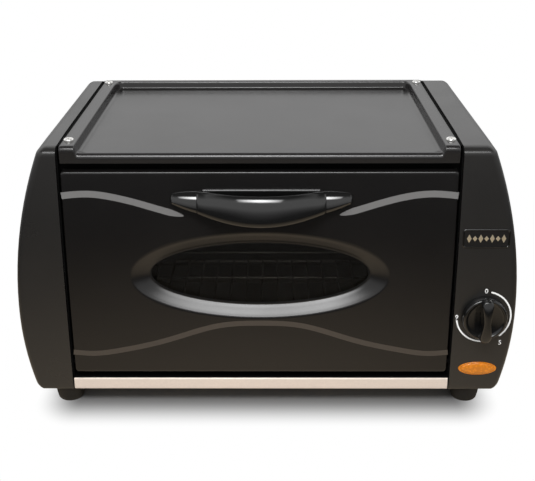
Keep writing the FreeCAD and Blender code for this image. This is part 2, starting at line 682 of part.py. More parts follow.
def top_plate():
    """Pressed plate: flat rims, a tray with a low bead at its front, and a front lip that turns down."""
    x0 = SLOT_OFFSET - PLATE_WIDTH / 2
    x1 = SLOT_OFFSET + PLATE_WIDTH / 2
    lip_bottom = BODY_TOP - PLATE_LIP
    outer = box(x0, x1, 0, PLATE_DEPTH, lip_bottom, BODY_TOP)
    front_top = [e for e in outer.Edges
                 if e.BoundBox.YMax < 0.01 and e.BoundBox.ZMin > BODY_TOP - 0.01]
    outer = outer.makeFillet(PLATE_ROUND, front_top)
    inner = box(x0 - 1, x1 + 1, PLATE_THICKNESS, PLATE_DEPTH + 1, lip_bottom - 1, BODY_TOP - PLATE_THICKNESS)
    inner_top = [e for e in inner.Edges
                 if e.BoundBox.YMax < PLATE_THICKNESS + 0.01
                  and e.BoundBox.ZMin > BODY_TOP - PLATE_THICKNESS - 0.01]
    inner = inner.makeFillet(PLATE_ROUND - PLATE_THICKNESS, inner_top)
    mouth_half = PLATE_WIDTH / 2 - TRAY_RIM - TRAY_SLOPE / 2
    bead_top = BODY_TOP - TRAY_DEPTH + TRAY_BEAD
    mouth = box(SLOT_OFFSET - mouth_half, SLOT_OFFSET + mouth_half, -1, TRAY_FRONT, bead_top, BODY_TOP + 1)
    under_mouth = box(SLOT_OFFSET - mouth_half - PLATE_THICKNESS, SLOT_OFFSET + mouth_half + PLATE_THICKNESS,
                      -1, TRAY_FRONT + PLATE_THICKNESS, bead_top - PLATE_THICKNESS, BODY_TOP + 1)
    inner = inner.cut(under_mouth)
    inner = inner.makeFillet(BEAD_ROUND - PLATE_THICKNESS,
                             front_edges(inner, PLATE_THICKNESS, bead_top - PLATE_THICKNESS))
    outer = outer.cut(mouth)
    outer = outer.makeFillet(BEAD_ROUND, front_edges(outer, 0.0, bead_top))
    plate = outer.cut(tray_pocket(0.0)).cut(inner.cut(tray_pocket(PLATE_THICKNESS)))
    for x, y in plate_screw_places():
        plate = plate.cut(rod(V(x, y, BODY_TOP - 5), V(x, y, BODY_TOP + 5), SCREW_RADIUS + BORE_GAP))
    return plate


def top_plate_screws():
    screw = pan_screw(PLATE_SCREW_LENGTH, TOP_HEAD, HEAD_HEIGHT)
    return group([shifted(screw, x, y, BODY_TOP) for x, y in plate_screw_places()])


# ------------------------------------------------------------------ chassis
def end_wall(sign):
    """Steel end wall: cavity side, top flange for the plate, rear flange for the cover, bottom flange."""
    outside = SLOT_OFFSET + sign * SLOT_WIDTH / 2
    inside = outside - sign * SHEET
    shelf = BODY_TOP - PLATE_THICKNESS
    low = min(outside, inside)
    high = max(outside, inside)
    wall = front_block(low, high, FOOT_HEIGHT, shelf, WALL_FRONT_INSET, REAR_PLANE)
    tip = inside - sign * TOP_FLANGE
    top = box(min(tip, inside), max(tip, inside), SIDE_FLANGE_START, PLATE_DEPTH - SIDE_FLANGE_START,
              shelf - SHEET, shelf)
    rear_tip = inside - sign * REAR_FLANGE
    rear = box(min(rear_tip, inside), max(rear_tip, inside), REAR_PLANE - SHEET, REAR_PLANE,
               FOOT_HEIGHT + SHEET + EDGE_GAP, shelf - SHEET)
    base = FOOT_HEIGHT + PANEL_WALL
    foot_tip = outside + sign * BOTTOM_FLANGE
    bottom = box(min(foot_tip, outside), max(foot_tip, outside), FOOT_FRONT - FLANGE_PAST_FRONT_FOOT,
                 FOOT_REAR + FLANGE_PAST_REAR_FOOT, base, base + SHEET)
    body = fuse([wall, top, rear, bottom])
    holes = []
    for x, y in plate_screw_places():
        holes.append(rod(V(x, y, shelf - 5), V(x, y, shelf + 5), SCREW_RADIUS + BORE_GAP))
    for x, z in rear_screw_places():
        holes.append(rod(V(x, REAR_PLANE - 8, z), V(x, REAR_PLANE + 8, z), SCREW_RADIUS + BORE_GAP))
    for y in (FOOT_FRONT, FOOT_REAR):
        x = sign * FOOT_X
        holes.append(rod(V(x, y, base - 1), V(x, y, base + 3), SCREW_RADIUS + BORE_GAP))
    for y in BOSS_PLACES:
        holes.append(rod(V(low - 1, y, BOSS_HEIGHT), V(high + 1, y, BOSS_HEIGHT), SCREW_RADIUS + BORE_GAP))
    hinge = hinge_point()
    holes.append(rod(V(low - 1, hinge.y, hinge.z), V(high + 1, hinge.y, hinge.z), BUSH_RADIUS + BORE_GAP))
    if sign > 0:
        for y, z in heater_places():
            holes.append(rod(V(low - 1, y, z), V(high + 1, y, z), INSULATOR_RADIUS + BORE_GAP))
        holes.append(rod(V(low - 1, PROBE_Y, PROBE_HEIGHT), V(high + 1, PROBE_Y, PROBE_HEIGHT),
                         CAPILLARY_RADIUS + EDGE_GAP))
        holes.append(rod(V(low - 1, EARTH_Y, EARTH_HEIGHT), V(high + 1, EARTH_Y, EARTH_HEIGHT),
                         SCREW_RADIUS + BORE_GAP))
    return body.cut(fuse_apart(holes))


def fuse_apart(shapes):
    """Cutting tools that don't touch, as one compound."""
    return Part.makeCompound(shapes)


def rear_screw_places():
    """(x, z) of the rear cover's screws."""
    edge = REAR_FLANGE / 2
    return [(x, z) for x in (WALL_LEFT + edge, WALL_RIGHT - edge) for z in REAR_SCREW_HEIGHTS]


def front_frame():
    """Flat steel frame that the shut door faces, with the oven's mouth cut out."""
    near = DOOR_DEPTH + FRAME_GAP
    tilt = math.radians(lean(DOOR_MIDDLE))
    top = (CAVITY_ROOF - DOOR_MIDDLE + near * math.sin(tilt)) / math.cos(tilt)
    bottom = -DOOR_HEIGHT / 2 + HINGE_RISE * 2 + 1.5
    half = SLOT_WIDTH / 2 - SHEET
    plate = box(-half, half, near, near + SHEET, bottom, top)
    mouth = box(-half + FRAME_BORDER, half - FRAME_BORDER, near - 1, near + SHEET + 1,
                bottom + FRAME_BORDER, top - FRAME_BORDER)
    return on_front(plate.cut(mouth), SLOT_OFFSET, DOOR_MIDDLE).cut(
        box(-FAR, FAR, -FAR, FAR, CAVITY_ROOF, FAR))


def cavity_roof():
    front = front_point(0, DOOR_MIDDLE, DOOR_DEPTH + FRAME_GAP, CAVITY_ROOF - DOOR_MIDDLE).y
    return box(WALL_LEFT, WALL_RIGHT, front, CAVITY_DEPTH + SHEET, CAVITY_ROOF, CAVITY_ROOF + SHEET)


def cavity_rear_wall():
    return box(WALL_LEFT, WALL_RIGHT, CAVITY_DEPTH, CAVITY_DEPTH + SHEET, FOOT_HEIGHT + SHEET, CAVITY_ROOF)


def cavity_floor():
    """Floor sheet with a lip up and a leg down to the base pan at its front edge."""
    hinge = hinge_point()
    front = hinge.y + HINGE_RISE + FLOOR_SETBACK
    floor = box(WALL_LEFT, WALL_RIGHT, front, CAVITY_DEPTH, CAVITY_FLOOR - SHEET, CAVITY_FLOOR)
    leg = box(WALL_LEFT + FLOOR_LEG_INSET, WALL_RIGHT - FLOOR_LEG_INSET, front, front + SHEET,
              FOOT_HEIGHT + SHEET, CAVITY_FLOOR + FLOOR_LIP)
    notches = [box(x, x + STOP_PASS, front - 1, front + SHEET + 1, FOOT_HEIGHT, CAVITY_FLOOR - SHEET)
               for x in (WALL_LEFT, WALL_RIGHT - STOP_PASS)]
    return fuse([floor, leg]).cut(group(notches))


def base_pan():
    """Bottom sheet between the end walls, with upturned sides."""
    front = front_y(FOOT_HEIGHT, RAIL_INSET + SHEET)
    sheet = front_block(WALL_LEFT, WALL_RIGHT, FOOT_HEIGHT, FOOT_HEIGHT + SHEET, RAIL_INSET + SHEET,
                        REAR_PLANE - SHEET)
    sides = [box(x, x + SHEET, front + PAN_SIDE_START, CAVITY_DEPTH - EDGE_GAP, FOOT_HEIGHT,
                 FOOT_HEIGHT + PAN_SIDE_HEIGHT)
             for x in (WALL_LEFT, WALL_RIGHT - SHEET)]
    pan = fuse([sheet] + sides)
    for x, y in stop_screw_places():
        pan = pan.cut(rod(V(x, y, 0), V(x, y, FOOT_HEIGHT + 5), SCREW_RADIUS + BORE_GAP))
    return pan


def front_rail():
    """Bright channel under the door: a face that follows the front, and two flanges that run back."""
    x0 = WALL_LEFT + EDGE_GAP
    x1 = WALL_RIGHT - EDGE_GAP
    bottom = FOOT_HEIGHT
    top = FOOT_HEIGHT + RAIL_HEIGHT
    back = front_y(top, RAIL_INSET) + RAIL_SHELF
    whole = front_block(x0, x1, bottom, top, RAIL_INSET, back)
    hollow = front_block(x0 - 1, x1 + 1, bottom + 2 * SHEET, top - SHEET, RAIL_INSET + SHEET, back + 1)
    under = front_block(x0 - 1, x1 + 1, bottom - 1, bottom + SHEET, RAIL_INSET + SHEET, back + 1)
    return whole.cut(hollow).cut(under)


def rear_cover():
    """Rear sheet with rows of vent slots."""
    low = FOOT_HEIGHT
    high = BODY_TOP - PLATE_THICKNESS
    cover = box(WALL_LEFT + EDGE_GAP, WALL_RIGHT - EDGE_GAP, REAR_PLANE, REAR_PLANE + SHEET, low, high)
    slots = []
    for row in range(VENT_ROWS):
        z = VENT_BOTTOM + row * VENT_STEP_Z
        for column in range(VENT_COLUMNS):
            x = SLOT_OFFSET + (column - (VENT_COLUMNS - 1) / 2) * VENT_STEP_X
            slots.append(slot_along_x(x, z))
    cover = cover.cut(group(slots))
    for x, z in rear_screw_places():
        cover = cover.cut(rod(V(x, REAR_PLANE - 8, z), V(x, REAR_PLANE + 8, z), SCREW_RADIUS + BORE_GAP))
    return cover


def slot_along_x(x, z):
    """Cutting tool for one vent slot."""
    run = VENT_LENGTH / 2 - VENT_HALF
    y0 = REAR_PLANE - 2
    y1 = REAR_PLANE + 4
    ends = [rod(V(x + s * run, y0, z), V(x + s * run, y1, z), VENT_HALF) for s in (-1, 1)]
    return fuse([box(x - run, x + run, y0, y1, z - VENT_HALF, z + VENT_HALF)] + ends)


def rear_cover_screws():
    screw = pan_screw(COVER_SCREW_LENGTH)
    screw.rotate(V(0, 0, 0), X_AXIS, -90)
    return group([shifted(screw, x, REAR_PLANE + SHEET, z) for x, z in rear_screw_places()])


def panel_screws():
    """Screws from inside the end walls into the panels' bosses, above the cavity roof."""
    screws = []
    for sign in (-1, 1):
        screw = pan_screw(BOSS_DEPTH - 3)
        screw.rotate(V(0, 0, 0), Y_AXIS, -90 * sign)
        inside = SLOT_OFFSET + sign * (SLOT_WIDTH / 2 - SHEET)
        for y in BOSS_PLACES:
            screws.append(shifted(screw, inside, y, BOSS_HEIGHT))
    return group(screws)


# ------------------------------------------------------------------ feet
def foot(sign, y):
    """Rubber foot: a slightly tapered cup with a rounded tip and a recess for its screw."""
    body = Part.makeCone(FOOT_TIP_RADIUS, FOOT_RADIUS, FOOT_HEIGHT)
    tip = [e for e in body.Edges if e.BoundBox.ZMax < 0.01]
    body = body.makeFillet(FOOT_TIP_ROUND, tip)
    recess = Part.makeCylinder(SCREW_HEAD + FOOT_RECESS_MARGIN, FOOT_RECESS)
    bore = Part.makeCylinder(SCREW_RADIUS + BORE_GAP, FOOT_HEIGHT + 1)
    return shifted(body.cut(recess).cut(bore), sign * FOOT_X, y, 0)


def foot_screws():
    length = FOOT_HEIGHT - FOOT_RECESS + PANEL_WALL + SHEET + NUT_HEIGHT + 1.5
    screw = pan_screw(length)
    screw.rotate(V(0, 0, 0), X_AXIS, 180)
    return group([shifted(screw, s * FOOT_X, y, FOOT_RECESS) for s, y in FOOT_PLACES.values()])


def foot_nuts():
    corners = [V(NUT_RADIUS * math.cos(math.radians(a)), NUT_RADIUS * math.sin(math.radians(a)), 0)
               for a in range(0, 361, 60)]
    nut = Part.Face(Part.makePolygon(corners)).extrude(V(0, 0, NUT_HEIGHT))
    nut = nut.cut(Part.makeCylinder(SCREW_RADIUS + BORE_GAP, NUT_HEIGHT))
    seat = FOOT_HEIGHT + PANEL_WALL + SHEET
    return group([shifted(nut, s * FOOT_X, y, seat) for s, y in FOOT_PLACES.values()])


# ------------------------------------------------------------------ door, modelled upright about its middle
def hinge_point():
    """Where the hinge axis crosses the body's middle plane."""
    return front_point(0, DOOR_MIDDLE, HINGE_DEPTH, -DOOR_HEIGHT / 2 + HINGE_RISE)


def on_door(shape):
    """Places a shape that was modelled about the door's middle."""
    return on_front(shape, SLOT_OFFSET, DOOR_MIDDLE)


def door_form(inset, front_inset, back):
    """The door's outer form, smaller by inset all round, with its face drawn in by front_inset."""
    half_x = DOOR_WIDTH / 2 - inset
    half_z = DOOR_HEIGHT / 2 - inset
    return arc_block(-half_x, half_x, -half_z, half_z, FRONT_RADIUS, 0.0, FRONT_RADIUS - front_inset, back)


def window_dish(grow, depth):
    """Oval funnel from in front of the door's face down to the ledge; grow widens it all round."""
    lead = 1.0 / depth
    wide_x = WINDOW_SEMI_X + DISH_WIDTH_X + grow
    wide_z = WINDOW_SEMI_Z + DISH_WIDTH_Z + grow
    near = (wide_x + (wide_x - LEDGE_SEMI_X - grow) * lead, wide_z + (wide_z - LEDGE_SEMI_Z - grow) * lead)
    return ellipse_taper(near, (LEDGE_SEMI_X + grow, LEDGE_SEMI_Z + grow), -1.0, depth)


def door_skin():
    """Painted skin: crowned face, four flanges, and the dished rim and ledge of the oval window."""
    back = DOOR_DEPTH - INNER_PANEL
    pan = door_form(0.0, 0.0, back)
    upright = [e for e in pan.Edges if e.BoundBox.ZLength > DOOR_HEIGHT / 2 and e.BoundBox.YMin < 4]
    pan = pan.makeFillet(DOOR_EDGE_ROUND, upright)
    pan = pan.cut(door_form(DOOR_SKIN, DOOR_SKIN, back + 1))
    bowl = window_dish(DOOR_SKIN, DISH_DEPTH).common(door_form(0.0, 0.0, back))
    seat = ellipse_prism(LEDGE_SEMI_X + DOOR_SKIN, LEDGE_SEMI_Z + DOOR_SKIN,
                         DISH_DEPTH, DISH_DEPTH + DOOR_SKIN)
    window = ellipse_prism(WINDOW_SEMI_X, WINDOW_SEMI_Z, DISH_DEPTH - 1, DISH_DEPTH + DOOR_SKIN + 1)
    skin = fuse([pan, bowl, seat]).cut(window_dish(0.0, DISH_DEPTH)).cut(window)
    for sign in (-1, 1):
        x = sign * (DOOR_WIDTH / 2)
        start = V(x - 5, HINGE_DEPTH, -DOOR_HEIGHT / 2 + HINGE_RISE)
        skin = skin.cut(rod(start, start + V(10, 0, 0), HINGE_PIN_RADIUS + BORE_GAP))
    placed = on_door(skin.cut(stop_notches()))
    for sign in (-1, 1):
        hole = outward(Part.makeCylinder(SCREW_RADIUS + BORE_GAP, 12, V(0, 0, -6)))
        placed = placed.cut(on_front(hole, SLOT_OFFSET + sign * HANDLE_SCREW_X, HANDLE_HEIGHT))
    return placed


def stop_notches():
    """Cutting tool for the two notches in the door's bottom edge that pass the door stops."""
    low = -DOOR_HEIGHT / 2
    notches = []
    for x, _ in stop_screw_places():
        middle = x - SLOT_OFFSET
        half = STOP_HALF + NOTCH_MARGIN
        notches.append(box(middle - half, middle + half, HINGE_DEPTH + NOTCH_MARGIN, DOOR_DEPTH + 1,
                           low - 1, low + NOTCH_HEIGHT))
    return group(notches)


def door_inner_panel():
    """Flat inner sheet that closes the skin from behind, with an oval opening for the glass."""
    half_x = DOOR_WIDTH / 2
    half_z = DOOR_HEIGHT / 2
    sheet = box(-half_x, half_x, DOOR_DEPTH - INNER_PANEL, DOOR_DEPTH, -half_z, half_z)
    hole = ellipse_prism(WINDOW_SEMI_X + INNER_HOLE_MARGIN, WINDOW_SEMI_Z + INNER_HOLE_MARGIN,
                         0, DOOR_DEPTH + 1)
    return on_door(sheet.cut(hole).cut(stop_notches()))


def glass_front():
    """Depth of the glass's front face behind the door's face."""
    return DISH_DEPTH + DOOR_SKIN + GASKET


def glass_gasket():
    outer = ellipse_prism(WINDOW_SEMI_X + GASKET_MARGIN, WINDOW_SEMI_Z + GASKET_MARGIN,
                          glass_front() - GASKET, glass_front())
    inner = ellipse_prism(WINDOW_SEMI_X - GASKET_LIP, WINDOW_SEMI_Z - GASKET_LIP, 0, DOOR_DEPTH)
    return on_door(outer.cut(inner))


def door_glass():
    half_x = WINDOW_SEMI_X + GLASS_MARGIN
    half_z = WINDOW_SEMI_Z + GLASS_MARGIN
    pane = rounded_block(-half_x, half_x, -half_z, half_z, GLASS_CORNER,
                         -glass_front() - GLASS_THICKNESS, -glass_front())
    return on_door(outward(pane))


def glass_clips():
    """Four thin spring pads that hold the pane between the ledge and the inner panel."""
    back = glass_front() + GLASS_THICKNESS
    clips = []
    for sx in (-1, 1):
        for sz in (-1, 1):
            x = sx * WINDOW_SEMI_X * 0.72
            z = sz * (WINDOW_SEMI_Z + GLASS_MARGIN - CLIP_INSET)
            clips.append(box(x - CLIP_HALF, x + CLIP_HALF, back, DOOR_DEPTH - INNER_PANEL,
                             z - CLIP_HALF_TALL, z + CLIP_HALF_TALL))
    return on_door(group(clips))


def handle_reach(x):
    """How far the handle stands out of the door: flat wings, and a bow between them."""
    if abs(x) < HANDLE_BOW_HALF:
        bow = math.cos(math.pi * x / (2 * HANDLE_BOW_HALF))
        return HANDLE_WING_REACH + (HANDLE_REACH - HANDLE_WING_REACH) * bow
    along = (abs(x) - HANDLE_BOW_HALF) / (HANDLE_HALF - HANDLE_BOW_HALF)
    return HANDLE_WING_REACH * (1 - 0.55 * along ** 2)


def handle_bottom(x):
    """Lower edge of the handle: hangs down in the middle of the bow, nearly level along the wings."""
    if abs(x) < HANDLE_BOW_HALF:
        return -HANDLE_WING_DROP - (HANDLE_DROP - HANDLE_WING_DROP) * (1 - (x / HANDLE_BOW_HALF) ** 2)
    return -HANDLE_WING_DROP + HANDLE_TOP_SAG * (abs(x) - HANDLE_BOW_HALF) / (HANDLE_HALF - HANDLE_BOW_HALF)


def handle_top(x):
    """Upper edge of the handle: almost level over the bow, falling along the wings."""
    if abs(x) < HANDLE_BOW_HALF:
        return HANDLE_TOP - HANDLE_TOP_SAG * (x / HANDLE_BOW_HALF) ** 2
    along = (abs(x) - HANDLE_BOW_HALF) / (HANDLE_HALF - HANDLE_BOW_HALF)
    return HANDLE_TOP - HANDLE_TOP_SAG - HANDLE_WING_FALL * along ** 1.6


def handle_section(x):
    """Cross-section of the handle at x: flat back and top, rounded front."""
    reach = handle_reach(x)
    top = handle_top(x)
    bottom = handle_bottom(x)
    corners = (V(x, 0, bottom), V(x, 0, top), V(x, -0.86 * reach, top), V(x, -0.8 * reach, bottom))
    belly = V(x, -reach, (top + bottom) / 2)
    return Part.Wire([
        Part.LineSegment(corners[0], corners[1]).toShape(),
        Part.LineSegment(corners[1], corners[2]).toShape(),
        Part.Arc(corners[2], belly, corners[3]).toShape(),
        Part.LineSegment(corners[3], corners[0]).toShape(),
    ])


def door_handle():
    """Glossy bow with two wings on a back plate; the gap behind the bow takes the fingers."""
    bow = [HANDLE_BOW_HALF * (i / 4 - 1) for i in range(9)]
    wing = [HANDLE_BOW_HALF + (HANDLE_HALF - HANDLE_BOW_HALF) * i / 3 for i in range(4)]
    runs = (bow, wing, [-x for x in reversed(wing)])
    solid = fuse([Part.makeLoft([handle_section(x) for x in run], True, False) for run in runs])
    steps = 12
    curve = []
    for i in range(steps + 1):
        x = -FINGER_HALF + 2 * FINGER_HALF * i / steps
        depth = HANDLE_BACK_PLATE + FINGER_GAP * (1 - (x / FINGER_HALF) ** 2)
        curve.append(V(x, -depth, -HANDLE_DROP * 2))
    spline = Part.BSplineCurve()
    spline.interpolate(curve)
    outline = Part.Wire([spline.toShape(), Part.LineSegment(curve[-1], curve[0]).toShape()])
    solid = solid.cut(Part.Face(outline).extrude(V(0, 0, HANDLE_DROP * 4)))
    for sign in (-1, 1):
        hole = outward(Part.makeCylinder(SCREW_RADIUS + BORE_GAP, HANDLE_SCREW_DEPTH + 1, V(0, 0, -1)))
        solid = solid.cut(shifted(hole, sign * HANDLE_SCREW_X))
    return on_front(solid, SLOT_OFFSET, HANDLE_HEIGHT)


def handle_screws():
    """Screws from inside the skin into the handle's wings."""
    screw = pan_screw(HANDLE_SCREW_DEPTH + DOOR_SKIN - 0.5)
    screw.rotate(V(0, 0, 0), X_AXIS, -90)
    screw.translate(V(0, DOOR_SKIN + 0.05, 0))
    return group([on_front(screw, SLOT_OFFSET + s * HANDLE_SCREW_X, HANDLE_HEIGHT) for s in (-1, 1)])


# ------------------------------------------------------------------ hinge
def hinge_pin(sign):
    """Pin through the door's side flange, with its head inside the door."""
    hinge = hinge_point()
    face = SLOT_OFFSET + sign * (DOOR_WIDTH / 2 - DOOR_SKIN)
    start = V(face, hinge.y, hinge.z)
    shank = rod(start, start + V(sign * HINGE_PIN_LENGTH, 0, 0), HINGE_PIN_RADIUS)
    head = rod(start - V(sign * PIN_HEAD_HEIGHT, 0, 0), start, PIN_HEAD_RADIUS)
    return fuse([shank, head])


def hinge_bush(sign):
    """Flanged bush in the end wall, which the hinge pin turns in."""
    hinge = hinge_point()
    inside = SLOT_OFFSET + sign * (SLOT_WIDTH / 2 - SHEET)
    outside = SLOT_OFFSET + sign * SLOT_WIDTH / 2
    start = V(inside, hinge.y, hinge.z)
    wall = V(outside, hinge.y, hinge.z)
    body = rod(start, start + V(sign * BUSH_LENGTH, 0, 0), BUSH_RADIUS)
    flange = rod(wall, wall + V(sign * BUSH_FLANGE_THICKNESS, 0, 0), BUSH_FLANGE)
    bore = rod(start - V(sign * BUSH_LENGTH, 0, 0), start + V(sign * 2 * BUSH_LENGTH, 0, 0),
               HINGE_PIN_RADIUS + BORE_GAP)
    return fuse([body, flange]).cut(bore)


def stop_screw_places():
    """(x, y) of the door stops' screws in the base pan."""
    y = hinge_point().y + HINGE_RISE + STOP_GAP + STOP_SCREW_BACK
    return [(WALL_LEFT + STOP_INSET, y), (WALL_RIGHT - STOP_INSET, y)]


def door_stops():
    """Two bent tabs on the base pan, which the open door's bottom flange comes to rest on."""
    hinge = hinge_point()
    face = hinge.y + HINGE_RISE + STOP_GAP
    low = FOOT_HEIGHT + SHEET
    tabs = []
    for x, y in stop_screw_places():
        upright = box(x - STOP_HALF, x + STOP_HALF, face, face + STOP_SHEET, low, hinge.z - STOP_DROP)
        base = box(x - STOP_HALF, x + STOP_HALF, face, face + STOP_FOOT, low, low + STOP_SHEET)
        hole = rod(V(x, y, low - 1), V(x, y, low + 3), SCREW_RADIUS + BORE_GAP)
        tabs.append(fuse([upright, base]).cut(hole))
    return group(tabs)


def door_stop_screws():
    screw = pan_screw(STOP_SCREW_LENGTH)
    return group([shifted(screw, x, y, FOOT_HEIGHT + SHEET + STOP_SHEET) for x, y in stop_screw_places()])


# ------------------------------------------------------------------ heaters and rack
def heater_places():
    """(y, z) of the four heater legs where they pass the right end wall."""
    return [(y, z) for z in (UPPER_HEATER_HEIGHT, LOWER_HEATER_HEIGHT) for y in (HEATER_FRONT, HEATER_REAR)]


def heater(height):
    """Tubular heater: two legs joined by a bend at the left, with thin studs at its cold ends."""
    right = WALL_RIGHT + SHEET + HEATER_TAIL
    left = WALL_LEFT + HEATER_END
    points = [(right, HEATER_FRONT, height), (left, HEATER_FRONT, height),
              (left, HEATER_REAR, height), (right, HEATER_REAR, height)]
    body = tube(points, HEATER_BEND, HEATER_RADIUS)
    studs = [rod(V(right - 1, y, height), V(right + STUD_LENGTH, y, height), STUD_RADIUS)
             for y in (HEATER_FRONT, HEATER_REAR)]
    return fuse([body] + studs)


def heater_insulators():
    rings = []
    for y, z in heater_places():
        start = V(WALL_RIGHT - INSULATOR_LEAD, y, z)
        wall = V(SLOT_RIGHT, y, z)
        body = rod(start, start + V(INSULATOR_LENGTH, 0, 0), INSULATOR_RADIUS)
        flange = rod(wall, wall + V(INSULATOR_FLANGE_THICKNESS, 0, 0), INSULATOR_FLANGE)
        bore = rod(start - V(INSULATOR_LENGTH, 0, 0), start + V(2 * INSULATOR_LENGTH, 0, 0),
                   HEATER_RADIUS + BORE_GAP)
        rings.append(fuse([body, flange]).cut(bore))
    return group(rings)


def heater_supports():
    """Two brackets on the left end wall, with a tongue under each heater's bend."""
    brackets = []
    middle = (HEATER_FRONT + HEATER_REAR) / 2
    for z in (UPPER_HEATER_HEIGHT, LOWER_HEATER_HEIGHT):
        seat = z - HEATER_RADIUS
        foot_plate = box(WALL_LEFT, WALL_LEFT + SUPPORT_SHEET, middle - SUPPORT_FOOT_HALF,
                         middle + SUPPORT_FOOT_HALF, seat - SUPPORT_FOOT_DOWN, seat + SUPPORT_FOOT_UP)
        tongue = box(WALL_LEFT, WALL_LEFT + HEATER_END + HEATER_RADIUS + SUPPORT_TONGUE_PAST,
                     middle - SUPPORT_TONGUE_HALF, middle + SUPPORT_TONGUE_HALF, seat - SUPPORT_SHEET, seat)
        brackets.append(fuse([foot_plate, tongue]))
    return group(brackets)


def rack_seat():
    """Height of the runners' top faces."""
    return RACK_HEIGHT - RACK_FRAME_WIRE


def rack_runner(sign):
    """Angle on an end wall that carries the rack's edge."""
    inside = SLOT_OFFSET + sign * (SLOT_WIDTH / 2 - SHEET)
    tip = inside - sign * RUNNER_WIDTH
    seat = rack_seat()
    leg_in = inside - sign * SHEET
    front = RACK_FRONT - RUNNER_LEAD
    ledge = box(min(inside, tip), max(inside, tip), front, CAVITY_DEPTH, seat - SHEET, seat)
    leg = box(min(inside, leg_in), max(inside, leg_in), front, CAVITY_DEPTH, seat - RUNNER_LEG, seat)
    return fuse([ledge, leg])


def wire_rack():
    """Chromed rack: a bent frame, two cross wires under the long wires, and a raised stop at the rear."""
    half = SLOT_WIDTH / 2 - SHEET - RACK_SIDE_GAP - RACK_FRAME_WIRE
    x0 = SLOT_OFFSET - half
    x1 = SLOT_OFFSET + half
    z = RACK_HEIGHT
    middle = (RACK_FRONT + RACK_REAR) / 2
    loop = [(x0, middle, z), (x0, RACK_FRONT, z), (x1, RACK_FRONT, z), (x1, RACK_REAR, z),
            (x0, RACK_REAR, z), (x0, middle, z)]
    wires = [tube(loop, RACK_CORNER, RACK_FRAME_WIRE)]
    for y in RACK_CROSS:
        wires.append(rod(V(x0, y, z), V(x1, y, z), RACK_WIRE * 1.2))
    long_height = z + RACK_WIRE * 1.6
    count = int((x1 - x0 - 2 * RACK_CORNER) / RACK_PITCH / 2)
    for i in range(-count, count + 1):
        x = SLOT_OFFSET + i * RACK_PITCH
        wires.append(rod(V(x, RACK_FRONT, long_height), V(x, RACK_REAR, long_height), RACK_WIRE))
    stop = z + RACK_STOP_RISE
    reach = x1 - SLOT_OFFSET - 3 * RACK_CORNER
    left = SLOT_OFFSET - reach
    right = SLOT_OFFSET + reach
    wires.append(tube([(left, RACK_REAR, z), (left, RACK_REAR, stop), (right, RACK_REAR, stop),
                       (right, RACK_REAR, z)], RACK_CORNER / 2, RACK_WIRE))
    return fuse(wires)


# ------------------------------------------------------------------ controls
def badge_plate():
    """Raised plaque with a rim, seated in a pocket of the right panel."""
    half_x = BADGE_WIDTH / 2
    half_z = BADGE_TALL / 2
    plate = rounded_block(-half_x, half_x, -half_z, half_z, BADGE_CORNER, -BADGE_POCKET,
                          BADGE_THICKNESS - BADGE_POCKET)
    field = rounded_block(-half_x + BADGE_RIM, half_x - BADGE_RIM, -half_z + BADGE_RIM, half_z - BADGE_RIM,
                          BADGE_CORNER - BADGE_RIM,
                          BADGE_THICKNESS - BADGE_POCKET - 0.6, BADGE_THICKNESS)
    return on_front(outward(plate.cut(field)), BADGE_X, BADGE_HEIGHT)


def indicator_lens():
    """Amber oval lens: a domed face over the panel and a body through its opening."""
    body = ellipse_prism(LAMP_SEMI_X - LENS_BEZEL - EDGE_GAP / 2, LAMP_SEMI_Z - LENS_BEZEL - EDGE_GAP / 2,
                         0, LENS_BODY)
    face = ellipse_prism(LAMP_SEMI_X, LAMP_SEMI_Z, -1.0, 0)
    dome = ellipse_taper((LAMP_SEMI_X, LAMP_SEMI_Z), (LAMP_SEMI_X - 2.2, LAMP_SEMI_Z - 1.8), -1.0, -2.2)
    return on_front(fuse([body, face, dome]), LAMP_X, LAMP_HEIGHT)


def indicator_lamp():
    """Lamp holder behind the lens, with two tags."""
    near = LENS_BODY
    collar = ellipse_prism(LAMP_SEMI_X - 3.5, LAMP_SEMI_Z - 2.4, near, near + LAMP_COLLAR)
    bulb = rod(V(0, near + LAMP_COLLAR, 0), V(0, near + LAMP_BULB_END, 0), LAMP_BULB_RADIUS)
    tags = [box(x - LAMP_TAG_HALF, x + LAMP_TAG_HALF, near + LAMP_TAG_START, near + LAMP_TAG_END,
                -LAMP_TAG_TALL, LAMP_TAG_TALL) for x in (-LAMP_TAG_X, LAMP_TAG_X)]
    return on_front(fuse([collar, bulb] + tags), LAMP_X, LAMP_HEIGHT)


